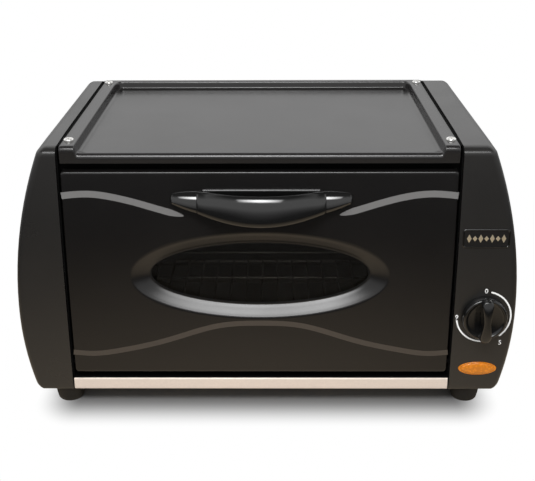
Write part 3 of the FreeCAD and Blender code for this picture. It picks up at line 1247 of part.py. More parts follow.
def control_knob():
    """Knob with a deep skirt, a shallow dished face and an upright waisted grip."""
    profile = [V(KNOB_RADIUS - 3, 0, KNOB_LIFT), V(KNOB_RADIUS, 0, KNOB_LIFT),
               V(KNOB_RADIUS - 0.6, 0, KNOB_SKIRT), V(KNOB_RADIUS - 2.4, 0, KNOB_SKIRT + 1.0),
               V(0, 0, KNOB_SKIRT - 0.6), V(0, 0, KNOB_LIFT + 5.0), V(KNOB_RADIUS - 3, 0, KNOB_LIFT + 5.0)]
    profile.append(profile[0])
    disc = Part.Face(Part.makePolygon(profile)).revolve(V(0, 0, 0), Z_AXIS, 360)
    grip_long = KNOB_RADIUS - 1.2
    steps = 8
    right_side = []
    for i in range(steps + 1):
        y = -grip_long + 2 * grip_long * i / steps
        half = KNOB_GRIP_WIDTH / 2 * (0.62 + 0.38 * math.cos(math.pi * y / (2 * grip_long)) ** 2)
        right_side.append(V(half, y, KNOB_SKIRT - 2))
    left_side = [V(-p.x, p.y, p.z) for p in reversed(right_side)]
    curves = []
    for points in (right_side, left_side):
        spline = Part.BSplineCurve()
        spline.interpolate(points)
        curves.append(spline.toShape())
    closers = [Part.LineSegment(right_side[-1], left_side[0]).toShape(),
               Part.LineSegment(left_side[-1], right_side[0]).toShape()]
    outline = Part.Wire([curves[0], closers[0], curves[1], closers[1]])
    grip = Part.Face(outline).extrude(V(0, 0, KNOB_GRIP - KNOB_SKIRT + 2))
    envelope = Part.makeCone(KNOB_RADIUS, KNOB_RADIUS - 6, KNOB_GRIP - KNOB_LIFT, V(0, 0, KNOB_LIFT))
    hub = Part.makeCylinder(SHAFT_RADIUS + 3.5, KNOB_SKIRT - KNOB_LIFT, V(0, 0, KNOB_LIFT))
    knob = fuse([disc, grip.common(envelope), hub])
    bore = Part.makeCylinder(SHAFT_RADIUS + BORE_GAP, SHAFT_OUT + 0.3)
    flat = box(-SHAFT_RADIUS - 1, SHAFT_RADIUS + 1, SHAFT_RADIUS * 0.5 + BORE_GAP, SHAFT_RADIUS + 1,
               0, SHAFT_OUT + 1)
    return on_front(outward(knob.cut(bore.cut(flat))), CONTROL_X, KNOB_HEIGHT)


def thermostat_shaft():
    """Turning shaft with a flat for the knob, carried in the thermostat's body."""
    shaft = Part.makeCylinder(SHAFT_RADIUS, SHAFT_OUT + SHAFT_IN, V(0, 0, -SHAFT_IN))
    flat = box(-SHAFT_RADIUS - 1, SHAFT_RADIUS + 1, SHAFT_RADIUS * 0.5, SHAFT_RADIUS + 1, 0, SHAFT_OUT + 1)
    return on_front(outward(shaft.cut(flat)), CONTROL_X, KNOB_HEIGHT)


def thermostat_body():
    """Thermostat behind the panel: front bracket, body, bearing bore and terminal tags."""
    near = -PANEL_WALL - CROWN_GAP
    bracket = box(-THERMOSTAT_HALF_X, THERMOSTAT_HALF_X, -THERMOSTAT_HALF_Z, THERMOSTAT_HALF_Z,
                  near - 1.2, near)
    body = box(-THERMOSTAT_HALF_X + 2, THERMOSTAT_HALF_X - 2, -THERMOSTAT_HALF_Z + 2, THERMOSTAT_HALF_Z - 2,
               near - THERMOSTAT_DEPTH, near - BODY_BACK)
    neck = box(-THERMOSTAT_HALF_X + 4, THERMOSTAT_HALF_X - 4, -8, 8, near - BODY_BACK - 1, near - 1)
    tags = [box(x - 3.1, x + 3.1, TAG_Z - 0.4, TAG_Z + 0.4, near - THERMOSTAT_DEPTH - TAG_LENGTH,
                near - THERMOSTAT_DEPTH + 1) for x in TAG_X]
    whole = fuse([bracket, body, neck] + tags)
    whole = whole.cut(Part.makeCylinder(SHAFT_RADIUS + BORE_GAP, SHAFT_IN + 0.3, V(0, 0, -SHAFT_IN - 0.3)))
    for z in (-THERMOSTAT_SCREW_Z, THERMOSTAT_SCREW_Z):
        whole = whole.cut(Part.makeCylinder(SCREW_RADIUS + BORE_GAP, 8, V(0, z, near - 8)))
    return on_front(outward(whole), CONTROL_X, KNOB_HEIGHT)


def thermostat_screws():
    screw = pan_screw(PANEL_WALL + 4.0)
    places = [shifted(screw, 0, z, 0.05) for z in (-THERMOSTAT_SCREW_Z, THERMOSTAT_SCREW_Z)]
    return on_front(outward(group(places)), CONTROL_X, KNOB_HEIGHT)


def thermostat_probe():
    """Bulb along the right end wall inside the cavity, and its capillary out through the wall to the body."""
    x = WALL_RIGHT - PROBE_FROM_WALL
    bulb_front = PROBE_Y + PROBE_LEAD
    bulb = rod(V(x, bulb_front, PROBE_HEIGHT), V(x, bulb_front + PROBE_LENGTH, PROBE_HEIGHT), PROBE_RADIUS)
    entry = front_point(CONTROL_X, KNOB_HEIGHT, PANEL_WALL + CROWN_GAP + THERMOSTAT_DEPTH + CROWN_GAP, 10)
    line = tube([(x, bulb_front + 1, PROBE_HEIGHT), (x, PROBE_Y, PROBE_HEIGHT),
                 (CAPILLARY_X, PROBE_Y, PROBE_HEIGHT), (CAPILLARY_X, PROBE_Y, entry.z),
                 (CAPILLARY_X, entry.y, entry.z)], CAPILLARY_BEND, CAPILLARY_RADIUS)
    return fuse([bulb, line])


def probe_clips():
    """Two clips that hold the bulb off the wall."""
    clips = []
    x = WALL_RIGHT - PROBE_FROM_WALL
    for y in (PROBE_Y + place for place in CLIP_PLACES):
        collar = ring(V(x, y, PROBE_HEIGHT), V(x, y + CLIP_WIDTH, PROBE_HEIGHT), PROBE_RADIUS + CLIP_WALL,
                      PROBE_RADIUS + BORE_GAP)
        arm = box(x + PROBE_RADIUS + CLIP_SHEET, WALL_RIGHT, y, y + CLIP_WIDTH, PROBE_HEIGHT - CLIP_SHEET,
                  PROBE_HEIGHT + CLIP_SHEET)
        pad = box(WALL_RIGHT - CLIP_PAD, WALL_RIGHT, y, y + CLIP_WIDTH, PROBE_HEIGHT - CLIP_PAD_DOWN,
                  PROBE_HEIGHT + CLIP_PAD_UP)
        clips.append(fuse([collar, arm, pad]))
    return group(clips)


# ------------------------------------------------------------------ electrics behind the right panel
def cable_inlet_bush():
    """Rubber bush in the right panel's rear wall, bored for the supply cable."""
    wall_in = BODY_DEPTH - PANEL_WALL
    inside = wall_in - INLET_INSIDE
    outside = BODY_DEPTH + INLET_OUTSIDE
    body = rod(V(INLET_X, inside, INLET_HEIGHT), V(INLET_X, outside, INLET_HEIGHT),
               INLET_RADIUS + INLET_WALL - EDGE_GAP / 2)
    outer = rod(V(INLET_X, BODY_DEPTH, INLET_HEIGHT), V(INLET_X, outside, INLET_HEIGHT),
                INLET_RADIUS + INLET_WALL + INLET_FLANGE)
    inner = rod(V(INLET_X, inside, INLET_HEIGHT), V(INLET_X, wall_in, INLET_HEIGHT),
                INLET_RADIUS + INLET_WALL + INLET_FLANGE / 2)
    bore = rod(V(INLET_X, inside - 1, INLET_HEIGHT), V(INLET_X, outside + 1, INLET_HEIGHT), INLET_RADIUS)
    return fuse([body, outer, inner]).cut(bore)


def terminal_block():
    """Three-pole block on the bottom flange of the right end wall."""
    base = FOOT_HEIGHT + PANEL_WALL + SHEET
    block = box(BLOCK_X - BLOCK_HALF_X, BLOCK_X + BLOCK_HALF_X, BLOCK_Y - BLOCK_HALF_Y,
                BLOCK_Y + BLOCK_HALF_Y, base, base + BLOCK_TALL)
    for i in (-1, 0, 1):
        y = BLOCK_Y + i * BLOCK_PITCH
        block = block.cut(rod(V(BLOCK_X - 20, y, base + BLOCK_POLE), V(BLOCK_X + 20, y, base + BLOCK_POLE),
                              WIRE_RADIUS + 0.2))
        for x in (BLOCK_X - 4.5, BLOCK_X + 4.5):
            block = block.cut(rod(V(x, y, base + 10), V(x, y, base + 20), 2.0))
    for y in (BLOCK_Y - 5.5, BLOCK_Y + 5.5):
        block = block.cut(rod(V(BLOCK_X, y, base - 1), V(BLOCK_X, y, base + 20), SCREW_RADIUS - 0.4))
    return block


def earth_screw():
    """Screw with washer on the right end wall, inside the panel."""
    washer = Part.makeCylinder(WASHER_RADIUS, SHEET)
    whole = fuse([shifted(pan_screw(SHEET * 2 + 4), 0, 0, SHEET), washer])
    whole.rotate(V(0, 0, 0), Y_AXIS, 90)
    return shifted(whole, SLOT_RIGHT, EARTH_Y, EARTH_HEIGHT)


def thermal_cutout():
    """Round safety cut-out on the outside of the right end wall, with two tags."""
    start = V(SLOT_RIGHT, CUTOUT_Y, CUTOUT_HEIGHT)
    flange = rod(start, start + V(SUPPORT_SHEET, 0, 0), CUTOUT_FLANGE)
    body = rod(start, start + V(CUTOUT_TALL, 0, 0), CUTOUT_RADIUS)
    tags = [box(SLOT_RIGHT + CUTOUT_TALL - 1, SLOT_RIGHT + CUTOUT_TAG, CUTOUT_Y + d - 0.4, CUTOUT_Y + d + 0.4,
                CUTOUT_HEIGHT - 3.1, CUTOUT_HEIGHT + 3.1) for d in (-4.5, 4.5)]
    return fuse([flange, body] + tags)


def internal_wiring():
    """Wires of the control housing, each running from the face of one terminal to the next."""
    pole = FOOT_HEIGHT + PANEL_WALL + SHEET + BLOCK_POLE
    block = BLOCK_X + 5
    stud = SLOT_RIGHT + HEATER_TAIL + STUD_LENGTH + BORE_GAP
    near = SLOT_RIGHT + WIRE_OUTER_RUN + WIRE_NEAR
    far = SLOT_RIGHT + WIRE_OUTER_RUN + WIRE_FAR
    cutout = SLOT_RIGHT + CUTOUT_TAG + BORE_GAP
    climb = cutout + WIRE_RUN - WIRE_CLIMB
    tag = front_point(0, KNOB_HEIGHT, PANEL_WALL + CROWN_GAP * 3 + THERMOSTAT_DEPTH + TAG_LENGTH, TAG_Z)
    lamp = front_point(0, LAMP_HEIGHT, LENS_BODY + LAMP_TAG_END + CROWN_GAP, 0)
    first, second, third = (CONTROL_X + x for x in TAG_X)
    front_pole, middle_pole, rear_pole = (BLOCK_Y + i * BLOCK_PITCH for i in (-1, 0, 1))
    front_tag, rear_tag = (CUTOUT_Y + d for d in (-4.5, 4.5))
    wires = [
        [(block, rear_pole, pole), (third, rear_pole, pole), (third, rear_pole, tag.z), (third, tag.y, tag.z)],
        [(first, tag.y, tag.z), (first, tag.y + WIRE_BACK, tag.z), (climb, front_tag, tag.z + WIRE_BACK),
         (climb, front_tag, CUTOUT_HEIGHT), (cutout, front_tag, CUTOUT_HEIGHT)],
        [(cutout, rear_tag, CUTOUT_HEIGHT), (climb, rear_tag, CUTOUT_HEIGHT),
         (climb, rear_tag, CUTOUT_HEIGHT + WIRE_TOP_RUN), (near, HEATER_FRONT, UPPER_HEATER_HEIGHT - WIRE_DROP),
         (near, HEATER_FRONT, UPPER_HEATER_HEIGHT), (stud, HEATER_FRONT, UPPER_HEATER_HEIGHT)],
        [(stud, HEATER_REAR, UPPER_HEATER_HEIGHT), (near, HEATER_REAR, UPPER_HEATER_HEIGHT),
         (near, HEATER_REAR, LOWER_HEATER_HEIGHT), (stud, HEATER_REAR, LOWER_HEATER_HEIGHT)],
        [(stud, HEATER_FRONT, LOWER_HEATER_HEIGHT), (near, HEATER_FRONT, LOWER_HEATER_HEIGHT),
         (near, CUTOUT_Y + HEATER_FRONT, pole + 7), (near, front_pole, pole), (block, front_pole, pole)],
        [(block, middle_pole, pole), (far, middle_pole, pole), (far, HEATER_FRONT + 20, pole + 10),
         (LAMP_X + LAMP_TAG_X, HEATER_FRONT - 16, lamp.z), (LAMP_X + LAMP_TAG_X, lamp.y, lamp.z)],
        [(second, tag.y, tag.z), (second, tag.y + WIRE_LAMP_RUN, tag.z),
         (LAMP_X - LAMP_TAG_X, tag.y + WIRE_LAMP_RUN, tag.z - WIRE_LAMP_DROP),
         (LAMP_X - LAMP_TAG_X, tag.y + WIRE_LAMP_RUN, lamp.z), (LAMP_X - LAMP_TAG_X, lamp.y, lamp.z)],
    ]
    return group([tube(points, WIRE_BEND, WIRE_RADIUS) for points in wires])


# ------------------------------------------------------------------ assembly
def build():
    """Every node of the object by name."""
    nodes = {
        "left_side_panel": left_side_panel(),
        "right_side_panel": right_side_panel(),
        "top_plate": top_plate(),
        "top_plate_screws": top_plate_screws(),
        "left_end_wall": end_wall(-1),
        "right_end_wall": end_wall(1),
        "cavity_front_frame": front_frame(),
        "cavity_roof": cavity_roof(),
        "cavity_rear_wall": cavity_rear_wall(),
        "cavity_floor": cavity_floor(),
        "base_pan": base_pan(),
        "front_rail": front_rail(),
        "rear_cover": rear_cover(),
        "rear_cover_screws": rear_cover_screws(),
        "panel_screws": panel_screws(),
        "foot_screws": foot_screws(),
        "foot_nuts": foot_nuts(),
        "door_skin": door_skin(),
        "door_inner_panel": door_inner_panel(),
        "glass_gasket": glass_gasket(),
        "door_glass": door_glass(),
        "glass_clips": glass_clips(),
        "door_handle": door_handle(),
        "handle_screws": handle_screws(),
        "hinge_pin_left": hinge_pin(-1),
        "hinge_pin_right": hinge_pin(1),
        "hinge_bush_left": hinge_bush(-1),
        "hinge_bush_right": hinge_bush(1),
        "door_stops": door_stops(),
        "door_stop_screws": door_stop_screws(),
        "upper_heater": heater(UPPER_HEATER_HEIGHT),
        "lower_heater": heater(LOWER_HEATER_HEIGHT),
        "heater_insulators": heater_insulators(),
        "heater_supports": heater_supports(),
        "rack_runner_left": rack_runner(-1),
        "rack_runner_right": rack_runner(1),
        "wire_rack": wire_rack(),
        "badge_plate": badge_plate(),
        "indicator_lens": indicator_lens(),
        "indicator_lamp": indicator_lamp(),
        "control_knob": control_knob(),
        "thermostat_shaft": thermostat_shaft(),
        "thermostat_body": thermostat_body(),
        "thermostat_screws": thermostat_screws(),
        "thermostat_probe": thermostat_probe(),
        "probe_clips": probe_clips(),
        "cable_inlet_bush": cable_inlet_bush(),
        "terminal_block": terminal_block(),
        "earth_screw": earth_screw(),
        "thermal_cutout": thermal_cutout(),
        "internal_wiring": internal_wiring(),
    }
    for name, (sign, y) in FOOT_PLACES.items():
        nodes[name] = foot(sign, y)
    return nodes


def origin_shift(nodes):
    """The move that brings the middle of the underside to the origin."""
    limits = FreeCAD.BoundBox()
    for shape in nodes.values():
        limits.add(shape.optimalBoundingBox(False, False))
    return V(-(limits.XMin + limits.XMax) / 2, -(limits.YMin + limits.YMax) / 2, -limits.ZMin)


def main():
    os.makedirs("parts", exist_ok=True)
    nodes = build()
    move = origin_shift(nodes)
    for name, shape in nodes.items():
        shape.translate(move)
        shape.exportStep(f"parts/{name}.step")
    hinge = hinge_point() + move
    knob = front_point(CONTROL_X, KNOB_HEIGHT, 0, 0) + move
    print("move", [round(c, 4) for c in move])
    print("hinge axis through", [round(c, 4) for c in hinge], "range 0 to", DOOR_SWING)
    print("knob axis through", [round(c, 4) for c in knob], "lean", round(lean(KNOB_HEIGHT), 4),
          "range 0 to", KNOB_TURN)
    print("door lean", round(lean(DOOR_MIDDLE), 4), "handle lean", round(lean(HANDLE_HEIGHT), 4))
    print("nodes", len(nodes))


main()
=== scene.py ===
"""Electric tandoor: finished surfaces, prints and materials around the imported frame.

Lengths are metres in the row frame: x to the right, y to the rear, z up from the table.
A flat drawing of something on the leaning front has x to the right, y inwards and z up the front.
"""

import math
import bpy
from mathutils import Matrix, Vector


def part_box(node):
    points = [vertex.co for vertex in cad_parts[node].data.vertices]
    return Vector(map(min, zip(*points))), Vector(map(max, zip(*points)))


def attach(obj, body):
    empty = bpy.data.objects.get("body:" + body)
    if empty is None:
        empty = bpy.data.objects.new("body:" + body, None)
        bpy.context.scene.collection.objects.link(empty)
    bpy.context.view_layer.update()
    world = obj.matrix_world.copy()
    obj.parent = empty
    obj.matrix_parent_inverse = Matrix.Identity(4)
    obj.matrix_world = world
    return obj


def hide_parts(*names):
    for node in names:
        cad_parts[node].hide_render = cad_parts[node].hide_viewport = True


bl_info = {
    "name": "Electric tandoor",
    "version": (1, 0, 0),
    "blender": (4, 5, 0),
    "location": "View3D > Sidebar > Tandoor",
    "description": "Builds the tandoor's painted shells, door, handle, controls and studio",
    "category": "Object",
}

import bmesh
import bpy
import numpy as np
from bpy.props import FloatProperty, FloatVectorProperty, PointerProperty
from mathutils import Matrix, Vector

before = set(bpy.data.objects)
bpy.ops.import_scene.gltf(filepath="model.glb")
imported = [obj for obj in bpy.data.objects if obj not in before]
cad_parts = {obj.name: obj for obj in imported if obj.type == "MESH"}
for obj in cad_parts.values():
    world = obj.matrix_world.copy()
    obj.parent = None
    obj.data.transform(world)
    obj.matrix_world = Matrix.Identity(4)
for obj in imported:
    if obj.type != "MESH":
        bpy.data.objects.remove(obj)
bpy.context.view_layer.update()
REAR_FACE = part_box("rear_cover")[1][1]
RIGHT_ANGLE = math.pi / 2


# ------------------------------------------------------------------ properties
def length(name, millimetres, text):
    """A length property, given in millimetres."""
    return FloatProperty(name=name, description=text, default=millimetres / 1000, unit="LENGTH", precision=5)


def linear(value):
    """Scene-linear value of an 8 bit screen value."""
    level = value / 255
    return level / 12.92 if level <= 0.04045 else ((level + 0.055) / 1.055) ** 2.4


def colour(name, screen, text):
    """A colour property, given as it is seen on screen, 0 to 255."""
    return FloatVectorProperty(name=name, description=text, subtype="COLOR", size=3, min=0.0, max=1.0,
                               default=tuple(linear(v) for v in screen))


class TandoorBodySizes(bpy.types.PropertyGroup):
    """Sizes of the body and its two side panels."""
    width: length("Width", 500, "Over both side panels at their widest")
    top_width: length("Top width", 434, "Over both side panels at the top")
    bottom_width: length("Bottom width", 477, "Over both side panels at the bottom")
    widest: length("Widest height", 105, "Height at which the side panels bulge most")
    top: length("Top", 273, "Height of the top face")
    bottom: length("Bottom", 20, "Height of the body's underside")
    depth: length("Depth", 258, "From the front top edge to the rear")
    front_run: length("Front run", 29.2, "How far the front's bottom stands ahead of its top")
    front_radius: length("Front radius", 2530, "Radius of the front's slight crown")
    slot_width: length("Slot width", 388, "Between the side panels")
    slot_offset: length("Slot offset", -6.5, "Middle of the slot, right of the body's middle")
    wall: length("Panel wall", 2.5, "Wall of the side panels")
    edge: length("Panel rounding", 7, "Radius of the side panels' outer edges")
    fall: length("Top fall", 1.3, "How far the panel tops slope down towards the front edge")
    fall_run: length("Top fall run", 38, "Length of that slope")


class TandoorPlateSizes(bpy.types.PropertyGroup):
    """Sizes of the pressed top plate."""
    width: length("Width", 381, "Over the plate")
    depth: length("Depth", 256.5, "Over the plate")
    sheet: length("Sheet", 1.2, "Thickness of the sheet")
    lip: length("Front lip", 16.5, "Height of the lip at the front")
    rim: length("Side rim", 13.5, "Width of the flat rims")
    rear_rim: length("Rear rim", 7.5, "Width of the rear rim")
    tray: length("Tray depth", 8.5, "Depth of the tray below the rims")
    front: length("Front bead width", 8.2, "From the front face to the tray's floor")
    bead: length("Bead height", 1.1, "Height of the front bead over the tray's floor")
    corner: length("Tray corner", 9, "Corner radius of the tray")
    front_round: length("Front rounding", 5, "Radius of the front's upper edge")


class TandoorDoorSizes(bpy.types.PropertyGroup):
    """Sizes of the door and its oval window."""
    width: length("Width", 381, "Over the door")
    top: length("Top", 250.5, "Height of the door's top edge")
    bottom: length("Bottom", 39.3, "Height of the door's bottom edge")
    back: length("Skin depth", 15.5, "Depth of the painted skin")
    skin: length("Skin", 1.2, "Sheet of the skin")
    edge: length("Edge rounding", 2, "Radius of the outer edges")
    window_x: length("Window half width", 109, "Half width of the oval opening")
    window_z: length("Window half height", 32, "Half height of the oval opening")
    dish_x: length("Dish width", 17, "How far the dished rim reaches past the window sideways")
    dish_z: length("Dish height", 11.4, "How far the dished rim reaches past the window up and down")
    dish: length("Dish depth", 8, "Depth of the dished rim")
    ledge: length("Ledge", 0.9, "Width of the flat ledge round the window")
    notch: length("Notch half width", 10.5, "Half width of the notches for the door stops")
    notch_front: length("Notch depth", 11.5, "Where the notches start behind the door's face")
    upper_stripe: length("Upper stripe", 6.6, "Width of the upper wavy stripe")
    lower_stripe: length("Lower stripe", 5.6, "Width of the lower wavy stripe")


class TandoorHandleSizes(bpy.types.PropertyGroup):
    """Sizes of the door handle."""
    height: length("Height", 222, "Height of its middle over the table")
    half: length("Half length", 87.2, "From the middle to a tip")
    bow: length("Bow half length", 62, "From the middle to a crease")
    top: length("Top", 11.4, "Upper edge above its middle")
    drop: length("Drop", 19.6, "Lowest edge below its middle")
    tip_fall: length("Tip fall", 2.4, "Lower edge of the tips below its middle")
    wing_fall: length("Wing fall", 2.6, "How far the wings' upper edge falls to the tips")
    sunk: length("Sunk", 2.4, "How far the bow's upper edge lies below its back plate's")
    shift: length("Shift", 1.8, "Its middle, right of the slot's middle")
    step: length("Step", 0.9, "How far the bow starts proud of the wings")
    wing_reach: length("Wing reach", 9.5, "How far the wings stand out")
    reach: length("Reach", 31, "How far the bow stands out")
    plate: length("Back plate", 3.5, "Thickness of the plate behind the bow")
    gap: length("Finger gap", 20, "Depth of the gap behind the bow")
    gap_half: length("Finger gap half", 54, "Half length of that gap")


class TandoorControlSizes(bpy.types.PropertyGroup):
    """Sizes of the knob, dial, lens and badge on the right side panel."""
    x: length("Knob x", 217.3, "Knob axis right of the body's middle")
    z: length("Knob height", 101.8, "Height of the knob axis")
    radius: length("Knob radius", 22.5, "Radius of the skirt")
    skirt: length("Skirt", 9, "Height of the skirt")
    grip: length("Grip", 19, "Height of the grip's ridge")
    grip_width: length("Grip width", 13.5, "Width of the grip at its ends")
    lift: length("Lift", 0.6, "Gap between knob and panel")
    ring: length("Dial ring", 27.0, "Radius of the printed arcs")
    ring_width: length("Ring width", 1.6, "Width of the printed arcs")
    figure: length("Figure height", 5.2, "Size of the printed numbers")
    lens_x: length("Lens x", 215.3, "Middle of the indicator lens")
    lens_z: length("Lens height", 44.4, "Height of the indicator lens")
    lens_wide: length("Lens half width", 19.5, "Half width of the lens")
    lens_tall: length("Lens half height", 7.3, "Half height of the lens")
    badge_x: length("Badge x", 213.8, "Middle of the badge")
    badge_z: length("Badge height", 183.7, "Height of the badge's middle")
    badge_wide: length("Badge width", 46, "Width of the badge")
    badge_tall: length("Badge height", 19, "Height of the badge")


class TandoorColours(bpy.types.PropertyGroup):
    """Colours of the finishes."""
    body_paint: colour("Body paint", (30, 29, 28), "Fine-textured enamel of the side panels")
    plate_paint: colour("Plate paint", (31, 30, 30), "Fine-textured enamel of the top plate")
    door_paint: colour("Door paint", (17, 16, 16), "Smooth enamel of the door")
    stripe: colour("Stripe", (112, 111, 110), "Printed grey of the upper stripe")
    # Partly painted reflection: the print is a darker grey, and its warm brown tint is the floor's reflection
    # painted in.
    low_stripe: colour("Low stripe", (68, 61, 54), "Printed grey of the lower stripe")
    print_white: colour("Print", (250, 250, 248), "Printed white of the dial")
    handle_gloss: colour("Handle", (14, 14, 14), "Gloss black of the handle")
    knob: colour("Knob", (13, 13, 13), "Gloss black of the knob")
    zinc: colour("Zinc", (150, 150, 147), "Zinc-coated sheet")
    trim: colour("Trim", (232, 218, 206), "Bright trim under the door")
    screw: colour("Screw", (240, 239, 236), "Plated screws")
    enamel: colour("Oven enamel", (15, 14, 13), "Dark enamel of the cavity and the end walls")
    rubber: colour("Rubber", (20, 20, 20), "Feet, gasket and cable bush")
    champagne: colour("Champagne", (232, 216, 184), "Badge metal")
    amber: colour("Amber", (240, 140, 16), "Indicator lens")
    chrome: colour("Chrome", (190, 182, 172), "Rack wires")
    sheath: colour("Heater sheath", (84, 78, 72), "Oxidised heater tubes")
    ceramic: colour("Ceramic", (226, 221, 206), "Insulators and terminal block")
    copper: colour("Copper", (196, 132, 96), "Thermostat bulb and capillary")
    brass: colour("Brass", (206, 172, 104), "Screwed fittings")
    sleeve: colour("Sleeve", (196, 190, 174), "Glass-fibre sleeves")


class TandoorSettings(bpy.types.PropertyGroup):
    """All settings of the tandoor."""
    body: PointerProperty(type=TandoorBodySizes)
    plate: PointerProperty(type=TandoorPlateSizes)
    door: PointerProperty(type=TandoorDoorSizes)
    handle: PointerProperty(type=TandoorHandleSizes)
    control: PointerProperty(type=TandoorControlSizes)
    colours: PointerProperty(type=TandoorColours)


def sizes():
    """The settings of this scene."""
    return bpy.context.scene.tandoor


# ------------------------------------------------------------------ the leaning front
def front_arc():
    """Centre (y, z) of the arc that the front follows in side view."""
    b = sizes().body
    rise = b.top - b.bottom
    tilt = math.atan2(b.front_run, rise)
    half_chord = math.hypot(b.front_run, rise) / 2
    arm = math.sqrt(b.front_radius ** 2 - half_chord ** 2)
    start = REAR_FACE - b.depth
    return start - b.front_run / 2 + arm * math.cos(tilt), (b.top + b.bottom) / 2 - arm * math.sin(tilt)


def front_y(z, inset=0.0):
    """y of the front at height z: the arc's centre less the chord half at that height."""
    cy, cz = front_arc()
    return cy - np.sqrt((sizes().body.front_radius - inset) ** 2 - (z - cz) ** 2)


def crown(up):
    """How far the front falls back, seen from its tangent plane, at a distance up from the touching point."""
    r = sizes().body.front_radius
    return r - np.sqrt(r ** 2 - up ** 2)


def on_front(points, x, z):
    """A flat drawing leaned back by the front's slope at height z and set down at (x, z) on the front."""
    cz = front_arc()[1]
    lean = math.asin((z - cz) / sizes().body.front_radius)
    c, s = math.cos(lean), math.sin(lean)
    right, inwards, up = (points[..., i] for i in range(3))
    return spread(x + right, float(front_y(z)) + inwards * c + up * s, z - inwards * s + up * c)


def door_middle():
    """Height of the door's middle."""
    d = sizes().door
    return (d.top + d.bottom) / 2


# ------------------------------------------------------------------ curves and grids
def spread(x, y, z):
    """Points from coordinates that are first spread to one common shape."""
    return np.stack(np.broadcast_arrays(x, y, z), -1)


def smooth_step(value, low, high):
    """0 below low, 1 above high, and an S between them."""
    t = np.clip((value - low) / (high - low), 0.0, 1.0)
    return t * t * (3 - 2 * t)


def spaced(count, pull=0.85):
    """Fractions from 0 to 1, closer together near both ends: t less pull times a sine of t."""
    t = np.linspace(0.0, 1.0, count)
    return t - pull * np.sin(2 * np.pi * t) / (2 * np.pi)


def natural_spline(xs, zs, at):
    """Cubic through the points (xs, zs), with no bending at its ends, read at every value of at."""
    xs, zs, at = (np.asarray(v, float) for v in (xs, zs, at))
    h = np.diff(xs)
    n = len(xs)
    system = np.eye(n)
    right = np.zeros(n)
    k = np.arange(1, n - 1)
    system[k, k - 1] = h[:-1]
    system[k, k] = 2 * (h[:-1] + h[1:])
    system[k, k + 1] = h[1:]
    right[1:-1] = 6 * (np.diff(zs)[1:] / h[1:] - np.diff(zs)[:-1] / h[:-1])
    bend = np.linalg.solve(system, right)
    i = np.clip(np.searchsorted(xs, at) - 1, 0, n - 2)
    a = (xs[i + 1] - at) / h[i]
    c = (at - xs[i]) / h[i]
    return a * zs[i] + c * zs[i + 1] + ((a ** 3 - a) * bend[i] + (c ** 3 - c) * bend[i + 1]) * h[i] ** 2 / 6


def rounded_loop(controls, steps):
    """Closed cubic B-splines that follow the corners along axis 0, one for each place along axis 1.

    Each point is the weighted mean of four neighbouring corners.
    """
    controls = controls.transpose(1, 0, 2)
    t = np.linspace(0.0, 1.0, steps, endpoint=False)
    weights = np.stack([(1 - t) ** 3, 3 * t ** 3 - 6 * t ** 2 + 4,
                        -3 * t ** 3 + 3 * t ** 2 + 3 * t + 1, t ** 3]) / 6
    parts = sum(np.roll(controls, 1 - i, axis=1)[:, :, None] * weights[i][:, None] for i in range(4))
    loop = parts.reshape(len(controls), -1, controls.shape[-1])
    return np.concatenate([loop, loop[:, :1]], 1)


def frame_ring(half_x, half_y, corner, run, turn):
    """Closed rounded rectangle as (x, y): four times a side of run points and a corner of turn points.

    The points are complex numbers at first, so that a factor of 1j turns them by a quarter.
    """
    part = 2 * spaced(run) - 1
    angle = np.linspace(0.0, RIGHT_ANGLE, turn + 2)[1:-1]
    bend = corner * (np.sin(angle) - 1j * np.cos(angle))
    ring = []
    for quarter, (wide, tall) in enumerate(((half_x, half_y), (half_y, half_x)) * 2):
        side = (wide - corner) * part - 1j * tall
        ring.append(np.concatenate([side, wide - corner - 1j * (tall - corner) + bend]) * 1j ** quarter)
    ring = np.concatenate(ring + [ring[0][:1]])
    return np.stack([ring.real, ring.imag], -1)


def patch(points, inside):
    """Quads over a grid of points, all turned so that as a whole they look away from inside."""
    rows, columns = points.shape[:2]
    index = np.arange(rows * columns).reshape(rows, columns)
    quads = np.stack([index[:-1, :-1], index[:-1, 1:], index[1:, 1:], index[1:, :-1]], -1).reshape(-1, 4)
    flat = points.reshape(-1, 3)
    corners = flat[quads]
    normals = np.cross(corners[:, 2] - corners[:, 0], corners[:, 3] - corners[:, 1])
    inside = np.asarray(inside, float)
    if inside.ndim == 3:
        inside = np.broadcast_to((inside[:-1] + inside[1:]) / 2, (rows - 1, columns - 1, 3)).reshape(-1, 3)
    if (normals * (corners.mean(1) - inside)).sum() < 0:
        quads = quads[:, ::-1]
    return flat, quads


def swept(points):
    """Quads round a profile carried along a path: row by row, away from each row's middle."""
    return patch(points, points.mean(axis=1, keepdims=True))


def lathe(profile, turns=96):
    """Profile (radius, height) turned about the z axis."""
    angle = np.linspace(0.0, 2 * np.pi, turns + 1)
    radius, height = np.asarray(profile, float).T[..., None]
    return spread(radius * np.cos(angle), radius * np.sin(angle), height)


def outwards(points):
    """A shape that stands up on z = 0, laid so that it stands out of the front drawing."""
    return spread(points[..., 0], -points[..., 2], points[..., 1])


def closed_tips(loops, axis, reach, steps):
    """Rows closed at both ends, where they shrink to a point over a quarter circle along an axis."""
    angle = np.linspace(0.0, RIGHT_ANGLE, steps)[1:]
    caps = []
    for row, sign in ((loops[0], -1), (loops[-1], 1)):
        centre = row.mean(0)
        cap = centre + (row - centre) * np.cos(angle)[:, None, None]
        cap[..., axis] += sign * reach * np.sin(angle)[:, None]
        caps.append(cap[::sign])
    return np.concatenate([caps[0], loops, caps[1]])


def section(table, near, far, low, high):
    """Corners of a section at every place along it: their places across, and their heights.

    A row of the table is a share of the way from near to far and millimetres beyond it, then the same from
    low to high.
    """
    share, out, part, rise = np.array(table).T[:, :, None]
    return near + share * (far - near) + out / 1000, low + part * (high - low) + rise / 1000


